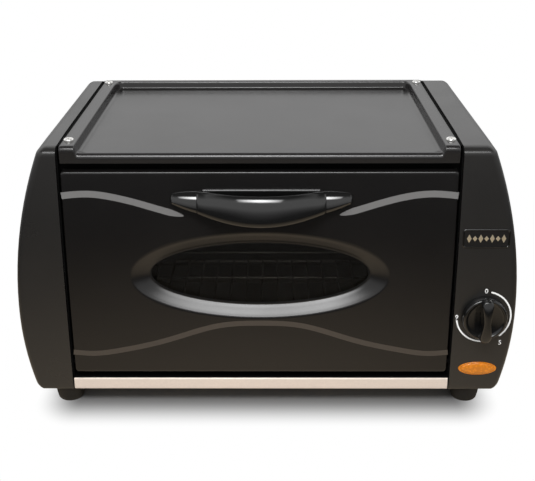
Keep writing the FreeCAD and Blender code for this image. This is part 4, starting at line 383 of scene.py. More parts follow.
# ------------------------------------------------------------------ pieces
def build_mesh(name, patches):
    """One mesh from patches, with seams and poles closed."""
    starts = np.cumsum([0] + [len(flat) for flat, _ in patches])
    points = np.concatenate([flat for flat, _ in patches])
    quads = np.concatenate([quads + start for (_, quads), start in zip(patches, starts)])
    mesh = bpy.data.meshes.new(name)
    mesh.vertices.add(len(points))
    mesh.vertices.foreach_set("co", points.astype(np.float32).ravel())
    mesh.loops.add(quads.size)
    mesh.loops.foreach_set("vertex_index", quads.astype(np.int32).ravel())
    mesh.polygons.add(len(quads))
    mesh.polygons.foreach_set("loop_start", np.arange(0, quads.size, 4, dtype=np.int32))
    mesh.update(calc_edges=True)
    work = bmesh.new()
    work.from_mesh(mesh)
    bmesh.ops.remove_doubles(work, verts=work.verts, dist=3e-6)
    work.to_mesh(mesh)
    work.free()
    mesh.validate()
    return mesh


def shade(mesh, angle):
    """Smooth shading, broken where faces meet at more than an angle."""
    mesh.polygons.foreach_set("use_smooth", np.ones(len(mesh.polygons), bool))
    mesh.set_sharp_from_angle(angle=math.radians(angle))


def apply_modifiers(piece):
    """Keeps the result of the piece's modifiers as its mesh."""
    graph = bpy.context.evaluated_depsgraph_get()
    made = bpy.data.meshes.new_from_object(piece.evaluated_get(graph))
    old = piece.data
    piece.modifiers.clear()
    piece.data = made
    bpy.data.meshes.remove(old)


def new_object(name, data):
    """An object in the scene."""
    made = bpy.data.objects.new(name, data)
    bpy.context.scene.collection.objects.link(made)
    return made


def thicken(piece, wall):
    """Gives a skin a wall inwards."""
    skin = piece.modifiers.new("Wall", "SOLIDIFY")
    skin.thickness = wall
    skin.offset = -1.0
    apply_modifiers(piece)


def dress(piece, finish, body, nodes=()):
    """Gives a piece its material, its body and the CAD nodes that it stands for."""
    piece.data.materials.clear()
    piece.data.materials.append(material(finish))
    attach(piece, body)
    if nodes:
        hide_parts(*nodes)


def add_piece(name, patches, finish, body, nodes=(), wall=0.0, holes=(), angle=38.0):
    """A finished piece from patches, with a wall inwards, holes and smooth faces up to an angle."""
    piece = new_object(name, build_mesh(name, patches))
    if wall:
        thicken(piece, wall)
    for hole in holes:
        cutter = new_object("cutter", build_mesh("cutter", hole))
        cut = piece.modifiers.new("Hole", "BOOLEAN")
        cut.operation = "DIFFERENCE"
        cut.solver = "EXACT"
        cut.object = cutter
        apply_modifiers(piece)
        bpy.data.objects.remove(cutter)
    shade(piece.data, angle)
    dress(piece, finish, body, nodes)


def feed(socket, value):
    """Links an input to a source, or sets its plain value."""
    if isinstance(value, bpy.types.NodeSocket):
        socket.id_data.links.new(value, socket)
    else:
        socket.default_value = value


def fill(made, **values):
    """Sets a node's settings and feeds its inputs, each by its name."""
    for key, value in values.items():
        if hasattr(made, key):
            setattr(made, key, value)
        else:
            feed(made.inputs[key.replace("_", " ")], value)
    return made


def node(tree, kind, *sources, **values):
    """A node filled with values, then with sources in the order of its inputs."""
    made = fill(tree.nodes.new(kind), **values)
    for socket, source in zip(made.inputs, sources):
        feed(socket, source)
    return made


def ranged(source, low, high, to_low=0.0, to_high=1.0, **values):
    """source taken from one range to another, clamped."""
    return node(source.id_data, "ShaderNodeMapRange", source, low, high, to_low, to_high,
                **values).outputs["Result"]


def maths(operation, first, *others):
    """Math nodes that take sources and plain numbers one after the other."""
    for other in others:
        tree = (first if isinstance(first, bpy.types.NodeSocket) else other).id_data
        first = node(tree, "ShaderNodeMath", first, other, operation=operation).outputs[0]
    return first


def noise(tree, place, scale, detail, **values):
    """Value of a noise texture."""
    return node(tree, "ShaderNodeTexNoise", Vector=place, Scale=scale, Detail=detail, **values).outputs["Fac"]


def surface_grain(tree, start):
    """Enamel and moulding grain: a fine speckle, a slow cloud, and the height of the speckle."""
    fine = noise(tree, start["Vector"], start["Grains per metre"], 3.0, Roughness=0.6)
    slow = noise(tree, start["Vector"], start["Clouds per metre"], 4.0, Roughness=0.55)
    return {"Speckle": ranged(fine, 0.32, 0.68), "Cloud": ranged(slow, 0.3, 0.7), "Height": fine}


def rubbed_edges(tree, start):
    """Painted highlight: lighter where the surface is convex, broken up by noise."""
    edge = ranged(node(tree, "ShaderNodeNewGeometry").outputs["Pointiness"], 0.515, 0.6)
    broken = ranged(noise(tree, start["Vector"], 90.0, 4.0), 0.35, 0.65, 0.2)
    return {"Mask": maths("MULTIPLY", edge, broken, start["Amount"])}


def settled_dust(tree, start):
    """Settled dust: patches on faces that look up."""
    normal = node(tree, "ShaderNodeNewGeometry").outputs["Normal"]
    up = ranged(node(tree, "ShaderNodeSeparateXYZ", normal).outputs["Z"], 0.3, 1.0)
    patches = ranged(noise(tree, start["Vector"], 22.0, 6.0, Roughness=0.65), 0.42, 0.72)
    return {"Mask": maths("MULTIPLY", up, patches, start["Amount"])}


def drawn_lines(tree, start):
    """Rolling and drawing lines of metal: noise stretched along x."""
    place = node(tree, "ShaderNodeMapping", Vector=start["Vector"], Scale=(0.02, 1.0, 1.0)).outputs["Vector"]
    return {"Lines": ranged(noise(tree, place, start["Lines per metre"], 3.0, Roughness=0.6), 0.3, 0.7)}


def grouped(build, place, **values):
    """Outputs of the node group that build makes on its first use, fed with coordinates and plain numbers."""
    name = build.__name__.replace("_", " ").capitalize()
    group = bpy.data.node_groups.get(name)
    if group is None:
        group = bpy.data.node_groups.new(name, "ShaderNodeTree")
        for label in ("Vector", *values):
            kind = "NodeSocketVector" if label == "Vector" else "NodeSocketFloat"
            group.interface.new_socket(name=label.replace("_", " "), in_out="INPUT", socket_type=kind)
        results = build(group, group.nodes.new("NodeGroupInput").outputs)
        for label in results:
            group.interface.new_socket(name=label, in_out="OUTPUT", socket_type="NodeSocketFloat")
        node(group, "NodeGroupOutput", *results.values())
    return node(place.id_data, "ShaderNodeGroup", node_tree=group, Vector=place, **values).outputs


# name: colour property, variation of tone, metallic, roughness range, grains per metre, bump, coat, specular,
# drawn lines, painted highlight on convex edges, dust
FINISHES = {
    "body_paint": ("body_paint", 0.16, 0.0, (0.27, 0.32), 1300, 0.06, 0.0, 0.66, 0.0, 0.10, 0.003),
    "plate_paint": ("plate_paint", 0.14, 0.0, (0.22, 0.25), 1200, 0.05, 0.0, 0.55, 0.0, 0.10, 0.002),
    "door_paint": ("door_paint", 0.10, 0.0, (0.21, 0.27), 1500, 0.02, 0.0, 0.5, 0.0, 0.10, 0.005),
    "stripe_print": ("stripe", 0.06, 0.0, (0.30, 0.38), 1500, 0.02, 0.0, 0.40, 0.0, 0.0, 0.0),
    "low_stripe_print": ("low_stripe", 0.06, 0.0, (0.30, 0.38), 1500, 0.02, 0.0, 0.40, 0.0, 0.0, 0.0),
    "dial_print": ("print_white", 0.05, 0.0, (0.45, 0.55), 1500, 0.02, 0.0, 0.30, 0.0, 0.0, 0.0),
    "handle_gloss": ("handle_gloss", 0.10, 0.0, (0.09, 0.14), 300, 0.01, 0.7, 0.60, 0.0, 0.04, 0.004),
    "knob_plastic": ("knob", 0.10, 0.0, (0.13, 0.19), 500, 0.01, 0.35, 0.50, 0.0, 0.06, 0.006),
    "galvanised_steel": ("zinc", 0.22, 0.85, (0.38, 0.58), 120, 0.03, 0.0, 0.5, 0.25, 0.10, 0.05),
    "oven_enamel": ("enamel", 0.20, 0.0, (0.40, 0.55), 700, 0.04, 0.0, 0.3, 0.0, 0.10, 0.003),
    "bright_trim": ("trim", 0.05, 0.25, (0.28, 0.36), 900, 0.01, 0.0, 0.5, 0.12, 0.0, 0.0),
    "plated_screw": ("screw", 0.08, 0.9, (0.18, 0.30), 900, 0.02, 0.0, 0.5, 0.10, 0.10, 0.02),
    "black_rubber": ("rubber", 0.15, 0.0, (0.55, 0.70), 900, 0.05, 0.0, 0.30, 0.0, 0.0, 0.05),
    "foot_rubber": ("rubber", 0.20, 0.0, (0.55, 0.72), 700, 0.08, 0.0, 0.30, 0.0, 0.0, 0.08),
    "bush_plastic": ("ceramic", 0.05, 0.0, (0.35, 0.45), 900, 0.02, 0.0, 0.45, 0.0, 0.0, 0.03),
    "heater_sheath": ("sheath", 0.35, 0.7, (0.40, 0.60), 260, 0.05, 0.0, 0.5, 0.15, 0.15, 0.0),
    "ceramic": ("ceramic", 0.06, 0.0, (0.25, 0.36), 700, 0.02, 0.2, 0.5, 0.0, 0.0, 0.04),
    "rack_chrome": ("chrome", 0.08, 0.95, (0.14, 0.26), 600, 0.01, 0.0, 0.5, 0.0, 0.10, 0.02),
    "badge_metal": ("champagne", 0.06, 0.8, (0.26, 0.34), 1500, 0.02, 0.0, 0.5, 0.20, 0.10, 0.0),
    "badge_gloss": ("knob", 0.10, 0.0, (0.12, 0.20), 600, 0.01, 0.5, 0.5, 0.0, 0.0, 0.0),
    "matt_black": ("knob", 0.20, 0.0, (0.85, 0.95), 700, 0.04, 0.0, 0.05, 0.0, 0.0, 0.0),
    "badge_field": ("door_paint", 0.10, 0.0, (0.35, 0.45), 1500, 0.03, 0.2, 0.4, 0.0, 0.0, 0.0),
    "probe_metal": ("copper", 0.12, 0.9, (0.28, 0.42), 500, 0.02, 0.0, 0.5, 0.15, 0.10, 0.02),
    "brass_fitting": ("brass", 0.10, 0.9, (0.26, 0.38), 700, 0.02, 0.0, 0.5, 0.10, 0.10, 0.02),
    "wire_sleeve": ("sleeve", 0.14, 0.0, (0.70, 0.85), 1600, 0.10, 0.0, 0.3, 0.0, 0.0, 0.05),
}
DUST_COLOUR = tuple(linear(v) for v in (150, 145, 138)) + (1.0,)
CLOUDS, LINES = 14.0, 1800.0  # to the metre
RELIEF = 0.0004  # height of the grain at full bump


def shaded(rgb, factor):
    """rgb made lighter or darker, as RGBA."""
    return tuple(min(1.0, v * factor) for v in rgb) + (1.0,)


def coordinates(tree, kind):
    """Texture coordinates of that kind."""
    return node(tree, "ShaderNodeTexCoord").outputs[kind]


def grey(level):
    """A neutral colour, as RGBA."""
    return (level, level, level, 1.0)


def mix_colour(factor, first, second):
    """Colour mix by factor of two sources or plain colours."""
    made = node(factor.id_data, "ShaderNodeMix", data_type="RGBA", Factor=factor)
    feed(made.inputs[6], first)
    feed(made.inputs[7], second)
    return made.outputs[2]


def bumped(height, strength, distance):
    """Normals bent by a height."""
    return node(height.id_data, "ShaderNodeBump", Height=height, Strength=strength,
                Distance=distance).outputs["Normal"]


def new_finish(name):
    """A new finish: its material, its shader and the object's coordinates."""
    made = bpy.data.materials.new("finish_" + name)
    made.use_nodes = True
    tree = made.node_tree
    return made, tree.nodes["Principled BSDF"], coordinates(tree, "Object")


def grained_material(name):
    """A finish from the table: grain, clouds, drawn lines, a painted highlight on convex edges and dust over
    one colour.
    """
    key, variation, metallic, rough, grains, bump, coat, specular, drawn, edge_highlight, dust = FINISHES[name]
    rgb = tuple(getattr(sizes().colours, key))
    dark = shaded(rgb, 1 - variation)
    made, shader, place = new_finish(name)
    grain = grouped(surface_grain, place, Grains_per_metre=float(grains), Clouds_per_metre=CLOUDS)
    tone = mix_colour(grain["Speckle"], dark, shaded(rgb, 1 + variation))
    tone = mix_colour(maths("MULTIPLY", grain["Cloud"], 0.25), tone, dark)
    roughness = ranged(grain["Cloud"], 0.0, 1.0, *rough)
    if drawn:
        lines = grouped(drawn_lines, place, Lines_per_metre=LINES)["Lines"]
        tone = mix_colour(maths("MULTIPLY", lines, drawn), tone, shaded(rgb, 0.6))
        roughness = maths("ADD", roughness, maths("MULTIPLY", lines, drawn * 0.3))
    # Painted highlight: convex edges made 2.2 times lighter, broken up by noise.
    if edge_highlight:
        tone = mix_colour(grouped(rubbed_edges, place, Amount=edge_highlight)["Mask"], tone, shaded(rgb, 2.2))
    if dust:
        mask = grouped(settled_dust, place, Amount=dust)["Mask"]
        tone = mix_colour(mask, tone, DUST_COLOUR)
        roughness = maths("ADD", roughness, maths("MULTIPLY", mask, 0.8))
    fill(shader, Base_Color=tone, Roughness=roughness, Normal=bumped(grain["Height"], bump, RELIEF),
         Metallic=metallic, Specular_IOR_Level=specular, Coat_Weight=coat, Coat_Roughness=0.06)
    return made


def glass_material(name):
    """Clear toughened glass with a faint smoky tint that drifts slowly over it."""
    made, shader, place = new_finish(name)
    cloud = grouped(surface_grain, place, Grains_per_metre=40.0, Clouds_per_metre=9.0)["Cloud"]
    fill(shader, Base_Color=mix_colour(cloud, (0.42, 0.42, 0.41, 1.0), (0.48, 0.48, 0.47, 1.0)),
         Roughness=ranged(cloud, 0.0, 1.0, 0.0, 0.006), Transmission_Weight=1.0, IOR=1.22)
    return made


def amber_material(name):
    """Moulded amber lens: cloudy colour, darker at the rims of its small cells, under a glossy coat."""
    made, shader, place = new_finish(name)
    rgb = tuple(sizes().colours.amber)
    grain = grouped(surface_grain, place, Grains_per_metre=420.0, Clouds_per_metre=70.0)
    cells = node(made.node_tree, "ShaderNodeTexVoronoi", Vector=place, Scale=380.0)
    facets = ranged(cells.outputs["Distance"], 0.0, 0.6)
    tone = mix_colour(grain["Cloud"], shaded(rgb, 0.72), shaded(rgb, 1.06))
    tone = mix_colour(maths("MULTIPLY", facets, 0.6), tone, shaded(rgb, 0.5))
    fill(shader, Base_Color=tone, Roughness=ranged(grain["Speckle"], 0.0, 1.0, 0.16, 0.26),
         Normal=bumped(facets, 0.25, 0.0006), Coat_Weight=0.5, Coat_Roughness=0.05)
    return made


def material(name):
    """The finish of that name, made once."""
    made = bpy.data.materials.get("finish_" + name)
    if made is None:
        made = {"oven_glass": glass_material, "amber_lens": amber_material}.get(name, grained_material)(name)
    return made


# ------------------------------------------------------------------ side panels
def panel_half_width(z):
    """Half width of the body at height z: two arcs that meet where it bulges most."""
    b = sizes().body
    half = b.width / 2
    upper, lower = ((abs(end - b.widest), half - wide / 2)
                    for end, wide in ((b.top, b.top_width), (b.bottom, b.bottom_width)))
    radii = [(rise ** 2 + fall ** 2) / (2 * fall) for rise, fall in (upper, lower)]
    radius = np.where(z >= b.widest, radii[0], radii[1])
    return half - radius + np.sqrt(radius ** 2 - (z - b.widest) ** 2)


# Share of an edge's rounding by which the front draws back there, below and above the widest height
LOW_PULL, HIGH_PULL = 0.25, 1.5
PANEL_HANG = 0.0008  # how far the panels hang below the body's underside


def panel_points(sign, inset=0.0):
    """Skin of a side panel, set inwards by inset for its inner side.

    Rows run over the height and are drawn in by d, which grows as radius times one minus a cosine over the
    rounded top and bottom edges. Columns run in plan: along the leaning front, round a corner of radius less
    d, along the bulged side, round the rear corner, and along the rear. On the flat top and bottom, rows
    slide from that outline to the panel's open side.
    """
    b = sizes().body
    radius, inner = b.edge - inset, b.slot_width / 2 + sign * b.slot_offset
    top, bottom = b.top - inset, b.bottom + inset - PANEL_HANG
    theta = np.linspace(0.0, RIGHT_ANGLE, 9)
    slide = np.array([1.0, 0.8, 0.5, 0.2, 0.04])
    flank = bottom + radius + (top - bottom - 2 * radius) * spaced(30, 0.7)[-2:0:-1]
    away, round_off = 0 * slide, radius * (1 - np.sin(theta))
    z = np.concatenate([top + away, top - round_off[::-1], flank, bottom + round_off, bottom + away])
    pulled = radius * (1 - np.cos(theta))
    d = np.concatenate([radius + away, pulled[::-1], 0 * flank, pulled, radius + away])
    s = np.concatenate([slide, 0 * theta, 0 * flank, 0 * theta, slide[::-1]])
    top_weight = np.concatenate([1 + away, np.sin(theta[::-1]), 0 * flank, 0 * theta, away])
    z, d, s, top_weight = (v[:, None] for v in (z, d, s, top_weight))
    corner = np.maximum(radius - d, 0.0)
    outer = panel_half_width(z) - inset - d
    near = front_y(z, inset) + np.where(z < b.widest, LOW_PULL, HIGH_PULL) * d
    far = REAR_FACE - inset - d
    run = spaced(12, 0.9)[None]
    turn = theta[None, 1:-1]
    one = 1 + 0 * run
    x = np.concatenate([
        inner + (outer - corner - inner) * run, outer - corner + corner * np.sin(turn),
        outer * one, outer - corner + corner * np.cos(turn),
        outer - corner + (inner - outer + corner) * run], 1)
    y = np.concatenate([
        near * one, near + corner - corner * np.cos(turn), near + corner + (far - near - 2 * corner) * run,
        far - corner + corner * np.sin(turn), far * one], 1)
    x = x + (inner - x) * s
    slope = np.clip(1 - (y - near) / b.fall_run, 0.0, 1.0)
    return spread(sign * x, y, z - b.fall * slope * top_weight)


def oval_bar(wide, tall, near, far):
    """Closed oval bar of a flat drawing, from depth near to depth far."""
    angle = np.linspace(0.0, 2 * np.pi, 65)
    grow = np.array([0.0, 1.0, 1.0, 0.0])[:, None]
    depth = np.array([near, near, far, far])[:, None]
    return spread(wide * grow * np.cos(angle), depth, tall * grow * np.sin(angle))


def walled(outer, inner, middle, beyond):
    """An outer skin, its inner skin turned round, and the strip that joins the borders of both."""
    flat, quads = patch(inner, middle)
    borders = [np.concatenate([g[0], g[1:, -1], g[-1, -2::-1], g[-2::-1, 0]]) for g in (outer, inner)]
    return [patch(outer, middle), (flat, quads[:, ::-1]), patch(np.stack(borders), beyond)]


LENS_LAP = 0.0012  # how far the lens laps over its hole
INLET_RADIUS = 0.007
CUT = 0.01  # how far the lens's cutter reaches on both sides of the front


class TANDOOR_OT_side_panels(bpy.types.Operator):
    """Builds the two bulged side panels"""
    bl_idname = "tandoor.side_panels"
    bl_label = "Side panels"

    def execute(self, context):
        b, c = sizes().body, sizes().control
        middle = (b.slot_offset, REAR_FACE - b.depth / 2, (b.top + b.bottom) / 2)
        lens = oval_bar(c.lens_wide - LENS_LAP, c.lens_tall - LENS_LAP, -CUT, CUT)
        bush = np.mean(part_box("cable_inlet_bush"), axis=0) * (1, 0, 1)
        inlet = oval_bar(INLET_RADIUS, INLET_RADIUS, REAR_FACE - 0.006, REAR_FACE + 0.006) + bush
        right_holes = ([swept(on_front(lens, c.lens_x, c.lens_z))], [swept(inlet)])
        for sign, name, holes in ((-1, "left_side_panel", ()), (1, "right_side_panel", right_holes)):
            beyond = (sign, middle[1], middle[2])
            shell = walled(panel_points(sign), panel_points(sign, b.wall), middle, beyond)
            add_piece(name + "_shell", shell, "body_paint", "chassis", [name], holes=holes)
        return {"FINISHED"}


# ------------------------------------------------------------------ top plate
# Share of the tray's depth that its wall has fallen, by millimetres inside the tray's outline
WALL_FALL = ((-0.8, 0.0), (-0.3, 0.006), (0.2, 0.035), (0.6, 0.11), (1.0, 0.24), (1.4, 0.42), (1.8, 0.60),
             (2.2, 0.765), (2.6, 0.865), (3.4, 0.95), (4.4, 0.988), (5.4, 1.0))


def edge_drop(inset, radius):
    """How far a rounded edge has fallen at a distance in from it: radius less the circle's height there."""
    return radius - np.sqrt(radius ** 2 - (radius - np.clip(inset, 0.0, radius)) ** 2)


REAR_FOOT, REAR_STRETCH = 0.0026, 2.5
BEAD_SPREAD, BESIDE_WALL = 0.006, (0.003, 0.012)  # how much further back, and between which distances


def plate_height(x, v):
    """Height over the rims at x from the plate's middle and v behind its front.

    The tray's wall falls along a spline of the distance inside a rounded rectangle that is open at the front.
    Beyond REAR_FOOT the rear wall's distance is stretched, for a wider foot. The bead rises at the front in
    an S, which starts further back beside the side walls.
    """
    p = sizes().plate
    side = p.width / 2 - p.rim - np.abs(x)
    back = p.depth - p.rear_rim - v
    back = np.where(back > REAR_FOOT, REAR_FOOT + (back - REAR_FOOT) / REAR_STRETCH, back)
    over_x, over_y = p.corner - side, p.corner - back
    distance = np.where((over_x > 0) | (over_y > 0),
                        p.corner - np.hypot(np.maximum(over_x, 0.0), np.maximum(over_y, 0.0)),
                        np.minimum(side, back))
    spots, falls = np.array(WALL_FALL).T
    fall = np.clip(natural_spline(spots, falls, np.clip(distance * 1000, spots[0], spots[-1])), 0.0, 1.0)
    start = p.front + BEAD_SPREAD * (1 - smooth_step(side, *BESIDE_WALL))
    rise = 1 - smooth_step(v, p.front_round, start)
    return (p.bead * rise - p.tray) * fall


def plate_points():
    """Top plate: heights over a grid, rolled over a quarter circle at the front and on down the lip."""
    b, p = sizes().body, sizes().plate
    half, opening, far = p.width / 2, p.width / 2 - p.rim, p.depth - p.rear_rim
    zone = np.concatenate([np.linspace(-0.0012, 0.0042, 23), np.linspace(0.005, 0.0132, 11)])
    rear = np.concatenate([zone, [0.0155, 0.0185, 0.022]])
    edge = np.array([0.001, 0.0004, 0.0001, 0.0])
    right = np.concatenate([opening - zone[::-1], opening + np.array([0.004, 0.008]), half - edge])
    x = np.concatenate([-right[::-1], right[0] * np.linspace(-1.0, 1.0, 14)[1:-1], right])[None]
    angle = np.radians(np.linspace(0.0, 90.0, 11))
    r = p.front_round
    lip = np.array([1.0, 0.7, 0.2])
    v = np.concatenate([0 * lip, r * (1 - np.cos(angle)), r + np.linspace(0.0004, 0.011, 18),
                        np.linspace(0.021, far - rear[-1], 14)[:-1], far - rear[::-1], [far + 0.003],
                        p.depth - edge])[:, None]
    roll = np.concatenate([r + 0 * lip, r * (1 - np.sin(angle)), 0 * v[len(lip) + len(angle):, 0]])[:, None]
    z = b.top + plate_height(x, np.maximum(v, r)) - roll
    low = b.top - p.lip
    z[:len(lip)] += (low - z[:len(lip)]) * lip[:, None]
    z[len(lip):] -= (edge_drop(half - np.abs(x), 0.001) + edge_drop(p.depth - v, 0.001))[len(lip):]
    return spread(b.slot_offset + x, REAR_FACE - b.depth + v, z)


class TANDOOR_OT_top_plate(bpy.types.Operator):
    """Builds the pressed top plate with its tray and front bead"""
    bl_idname = "tandoor.top_plate"
    bl_label = "Top plate"

    def execute(self, context):
        b, p = sizes().body, sizes().plate
        under = (b.slot_offset, REAR_FACE - b.depth / 2, b.top - 0.1)
        add_piece("top_plate_pressing", [patch(plate_points(), under)], "plate_paint", "chassis",
                  ["top_plate"], wall=p.sheet)
        return {"FINISHED"}


# ------------------------------------------------------------------ door
# Share of the dish's depth, by the share of the way from the window's ledge to the dish's rim
DISH_DEPTH = ((0.0, 1.0), (0.05, 0.962), (0.14, 0.873), (0.4, 0.63), (0.7, 0.355), (0.92, 0.155),
              (1.0, 0.085), (1.06, 0.033), (1.12, 0.0))


def stop_distances():
    """How far the two door stops stand from the slot's middle."""
    x = np.array([v.co.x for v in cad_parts["door_stops"].data.vertices]) - sizes().body.slot_offset
    return [abs(side.min() + side.max()) / 2 for side in (x[x < 0], x[x > 0])]


def door_points():
    """Painted skin of the door, from the window outwards.

    Rows are ovals that grow over the ledge and up the dished rim, then slide by a fraction into the door's
    rounded rectangle, turn over its edge and run back along its flanges. The depth of each row is added to
    the crown of the face.
    """
    d = sizes().door
    half = np.array([d.width, d.top - d.bottom]) / 2
    edge = frame_ring(*half, 0.003, 96, 5)
    angle = np.arctan2(edge[:, 1] / half[1], edge[:, 0] / half[0])
    oval = np.stack([np.cos(angle), np.sin(angle)], -1)
    hole = np.array([d.window_x, d.window_z])
    seat = hole + d.ledge
    dish = hole + np.array([d.dish_x, d.dish_z]) - seat
    rows = []

    def face_row(xz, depth):
        rows.append(spread(xz[:, 0], crown(xz[:, 1]) + depth, xz[:, 1]))

    for part in (0.0, 0.5, 0.85):
        face_row(oval * (hole + d.ledge * part), d.dish)
    spots, depths = np.array(DISH_DEPTH).T
    parts = np.linspace(0.0, spots[-1], 25)
    for part, depth in zip(parts, np.clip(natural_spline(spots, depths, parts), 0.0, 1.0)):
        face_row(oval * (seat + dish * part), d.dish * depth)
    start = oval * (seat + dish * spots[-1])
    for part in (0.03, 0.08, 0.18, 0.34, 0.52, 0.7, 0.85, 0.94, 0.98, 1.0):
        face_row(start + (edge * (1 - d.edge / half) - start) * part, 0.0)
    for turned in np.radians((72, 54, 36, 18, 0)):
        face_row(edge * (1 - d.edge * (1 - math.cos(turned)) / half), d.edge * (1 - math.sin(turned)))
    beside = [np.abs(np.abs(edge[:, 0]) - distance) < d.notch for distance in stop_distances()]
    back = np.where((edge[:, 1] < 0.001 - half[1]) & np.any(beside, axis=0), d.notch_front, d.back)
    last = rows[-1]
    for part in (0.15, 0.8, 1.0):
        flange = last.copy()
        flange[:, 1] += (back - last[:, 1]) * part
        rows.append(flange)
    return np.stack(rows)


# Millimetres right of the body's middle, and over the body's top
UPPER_STRIPE = ((-197.0, -46.0), (-172.0, -44.3), (-150.0, -47.0), (-126.0, -52.8), (-94.5, -62.2),
                (-60.0, -70.0), (-6.5, -73.5), (47.0, -70.0), (81.5, -62.2), (113.0, -52.6), (137.0, -46.8),
                (159.0, -44.5), (184.0, -46.3))
LOWER_STRIPE = ((-197.0, -210.8), (-176.5, -212.3), (-150.0, -209.0), (-99.8, -197.0), (-48.3, -181.3),
                (-6.5, -178.4), (35.3, -181.3), (86.8, -197.0), (137.0, -208.8), (163.5, -212.3),
                (184.0, -210.8))
# Painted shadow: the upper stripe stops in a taper on both sides of the handle, so the bare dark door stands
# for its shadow.
UPPER_SHADOW_ENDS, SHADOW_TAPER = (-0.080, 0.071), 0.013  # where the upper stripe runs out on both sides of the handle
STRIPE_LIFT = 0.00008  # of the stripes over the door


def stripe_points(spots, width, start, stop, taper=0.0):
    """A wavy band from start to stop: a spline through the spots, lying just proud of the door.

    Its width shrinks as a square root over the tapered length before stop.
    """
    b = sizes().body
    x = np.linspace(start, stop, 130)
    if taper:
        width = width * np.sqrt(np.clip(np.abs(stop - x) / taper, 0.02, 1.0))[:, None]
    upright = natural_spline(*np.array(spots).T / 1000, x) + b.top - door_middle()
    slope = np.gradient(upright, x)
    across = np.linspace(-0.5, 0.5, 4)[None] * width
    tilt = 1 / np.sqrt(1 + slope ** 2)
    px = (x - b.slot_offset)[:, None] - across * (slope * tilt)[:, None]
    pz = upright[:, None] + across * tilt[:, None]
    return on_front(spread(px, crown(pz) - STRIPE_LIFT, pz), b.slot_offset, door_middle())


class TANDOOR_OT_door(bpy.types.Operator):
    """Builds the door's painted skin and its two printed stripes"""
    bl_idname = "tandoor.door"
    bl_label = "Door"

    def execute(self, context):
        b, d = sizes().body, sizes().door
        behind = (b.slot_offset, REAR_FACE - b.depth / 2, door_middle())
        skin = on_front(door_points(), b.slot_offset, door_middle())
        add_piece("door_pressing", [patch(skin, behind)], "door_paint", "door", ["door_skin"],
                  wall=d.skin)
        # The upper stripe is cut short beside the handle: painted shadow of the handle.
        ends = (UPPER_STRIPE[0][0] / 1000, UPPER_STRIPE[-1][0] / 1000)
        tapered = [(end, stop, SHADOW_TAPER) for end, stop in zip(ends, UPPER_SHADOW_ENDS)]
        for name, spots, width, finish, spans in (
                ("upper_stripe", UPPER_STRIPE, d.upper_stripe, "stripe_print", tapered),
                ("lower_stripe", LOWER_STRIPE, d.lower_stripe, "low_stripe_print", [ends])):
            bands = [patch(stripe_points(spots, width, *span), behind) for span in spans]
            add_piece(name, bands, finish, "door", wall=0.00006)
        return {"FINISHED"}


# ------------------------------------------------------------------ handle
def handle_lines(x):
    """Reach, lower edge, upper edge and inner face of the handle at every x.

    The bow's reach follows a cosine and starts a step proud of the wings; the lower edge is one parabola.
    """
    h = sizes().handle
    side = np.abs(x)
    on_bow = side < h.bow
    along = np.clip((side - h.bow) / (h.half - h.bow), 0.0, 1.0)
    bow = np.cos(RIGHT_ANGLE * np.minimum(side / h.bow, 1.0))
    start = h.wing_reach + h.step
    reach = np.where(on_bow, start + (h.reach - start) * bow, h.wing_reach * (1 - 0.55 * along ** 2))
    bottom = -h.drop + (h.drop - h.tip_fall) * (side / h.half) ** 2
    top = h.top - h.wing_fall * along ** 2.5
    gap = np.maximum(0.0, h.plate + h.gap * (1 - (x / h.gap_half) ** 2))
    taper = h.plate * (h.bow - side) / (h.bow - h.gap_half)
    inner = np.where(side < h.gap_half, gap, np.where(side < h.bow, taper, 0.0))
    return reach, bottom, top, inner


# Corners for section(): a share and millimetres across, then a share and millimetres up
HANDLE_SECTION = (
    (0, 0, 0, 1), (0, 0, 0, 3), (0, 0, 1, -2), (0, 0, 1, -0.2), (0, 0.4, 1, 0), (0.2, 0, 0.99, 0),
    (0.48, 0, 0.91, 0), (0.74, 0, 0.76, 0), (0.92, 0, 0.56, 0), (1, 0, 0.34, 0), (1, 0.4, 0.16, 0),
    (1, 0, 0, 2), (1, -0.4, 0, 0.7), (1, -0.8, 0, 0), (1, -2.5, 0, 0), (0.2, 0, 0, 0))
BACK_PLATE_SECTION = (
    (0, 0, 0, 1), (0, 0, 1, -0.5), (0.5, 0, 1, 0), (1, 0, 1, -0.5), (1, 0, 1, -2), (1, 0, 0, 2),
    (1, 0, 0, 0.8), (0.5, 0, 0, 0.2))


def handle_points():
    """Bow and wings: at every x a rounded loop through the corners of the section, swept from tip to tip."""
    h = sizes().handle
    tip, step = 0.003, 0.0003
    wing = np.linspace(h.bow, h.half - tip, 16)
    bow = np.linspace(-h.bow, h.bow, 61)[1:-1]
    x = np.concatenate([-wing[::-1], [step - h.bow], bow, [h.bow - step], wing])
    reach, bottom, top, inner = handle_lines(x)
    out, up = section(HANDLE_SECTION, inner, reach, bottom, top - h.sunk)
    return closed_tips(rounded_loop(spread(x, -np.maximum(out, inner), up), 3), 0, tip, 7)


def back_plate_points():
    """Plate behind the bow: a thin rounded loop at every x, with its ends drawn to a point."""
    h = sizes().handle
    x = np.linspace(0.006 - h.bow, h.bow - 0.006, 61)
    _, bottom, top, _ = handle_lines(x)
    out, up = section(BACK_PLATE_SECTION, 0.0, h.plate, bottom, top)
    return closed_tips(rounded_loop(spread(x, -out, up), 3), 0, 0.0, 2)


class TANDOOR_OT_handle(bpy.types.Operator):
    """Builds the gloss handle with its wings and back plate"""
    bl_idname = "tandoor.handle"
    bl_label = "Handle"

    def execute(self, context):
        b, h = sizes().body, sizes().handle
        shapes = [swept(on_front(points, b.slot_offset + h.shift, h.height))
                  for points in (handle_points(), back_plate_points())]
        add_piece("handle_moulding", shapes, "handle_gloss", "door", ["door_handle"],
                  angle=50.0)
        return {"FINISHED"}


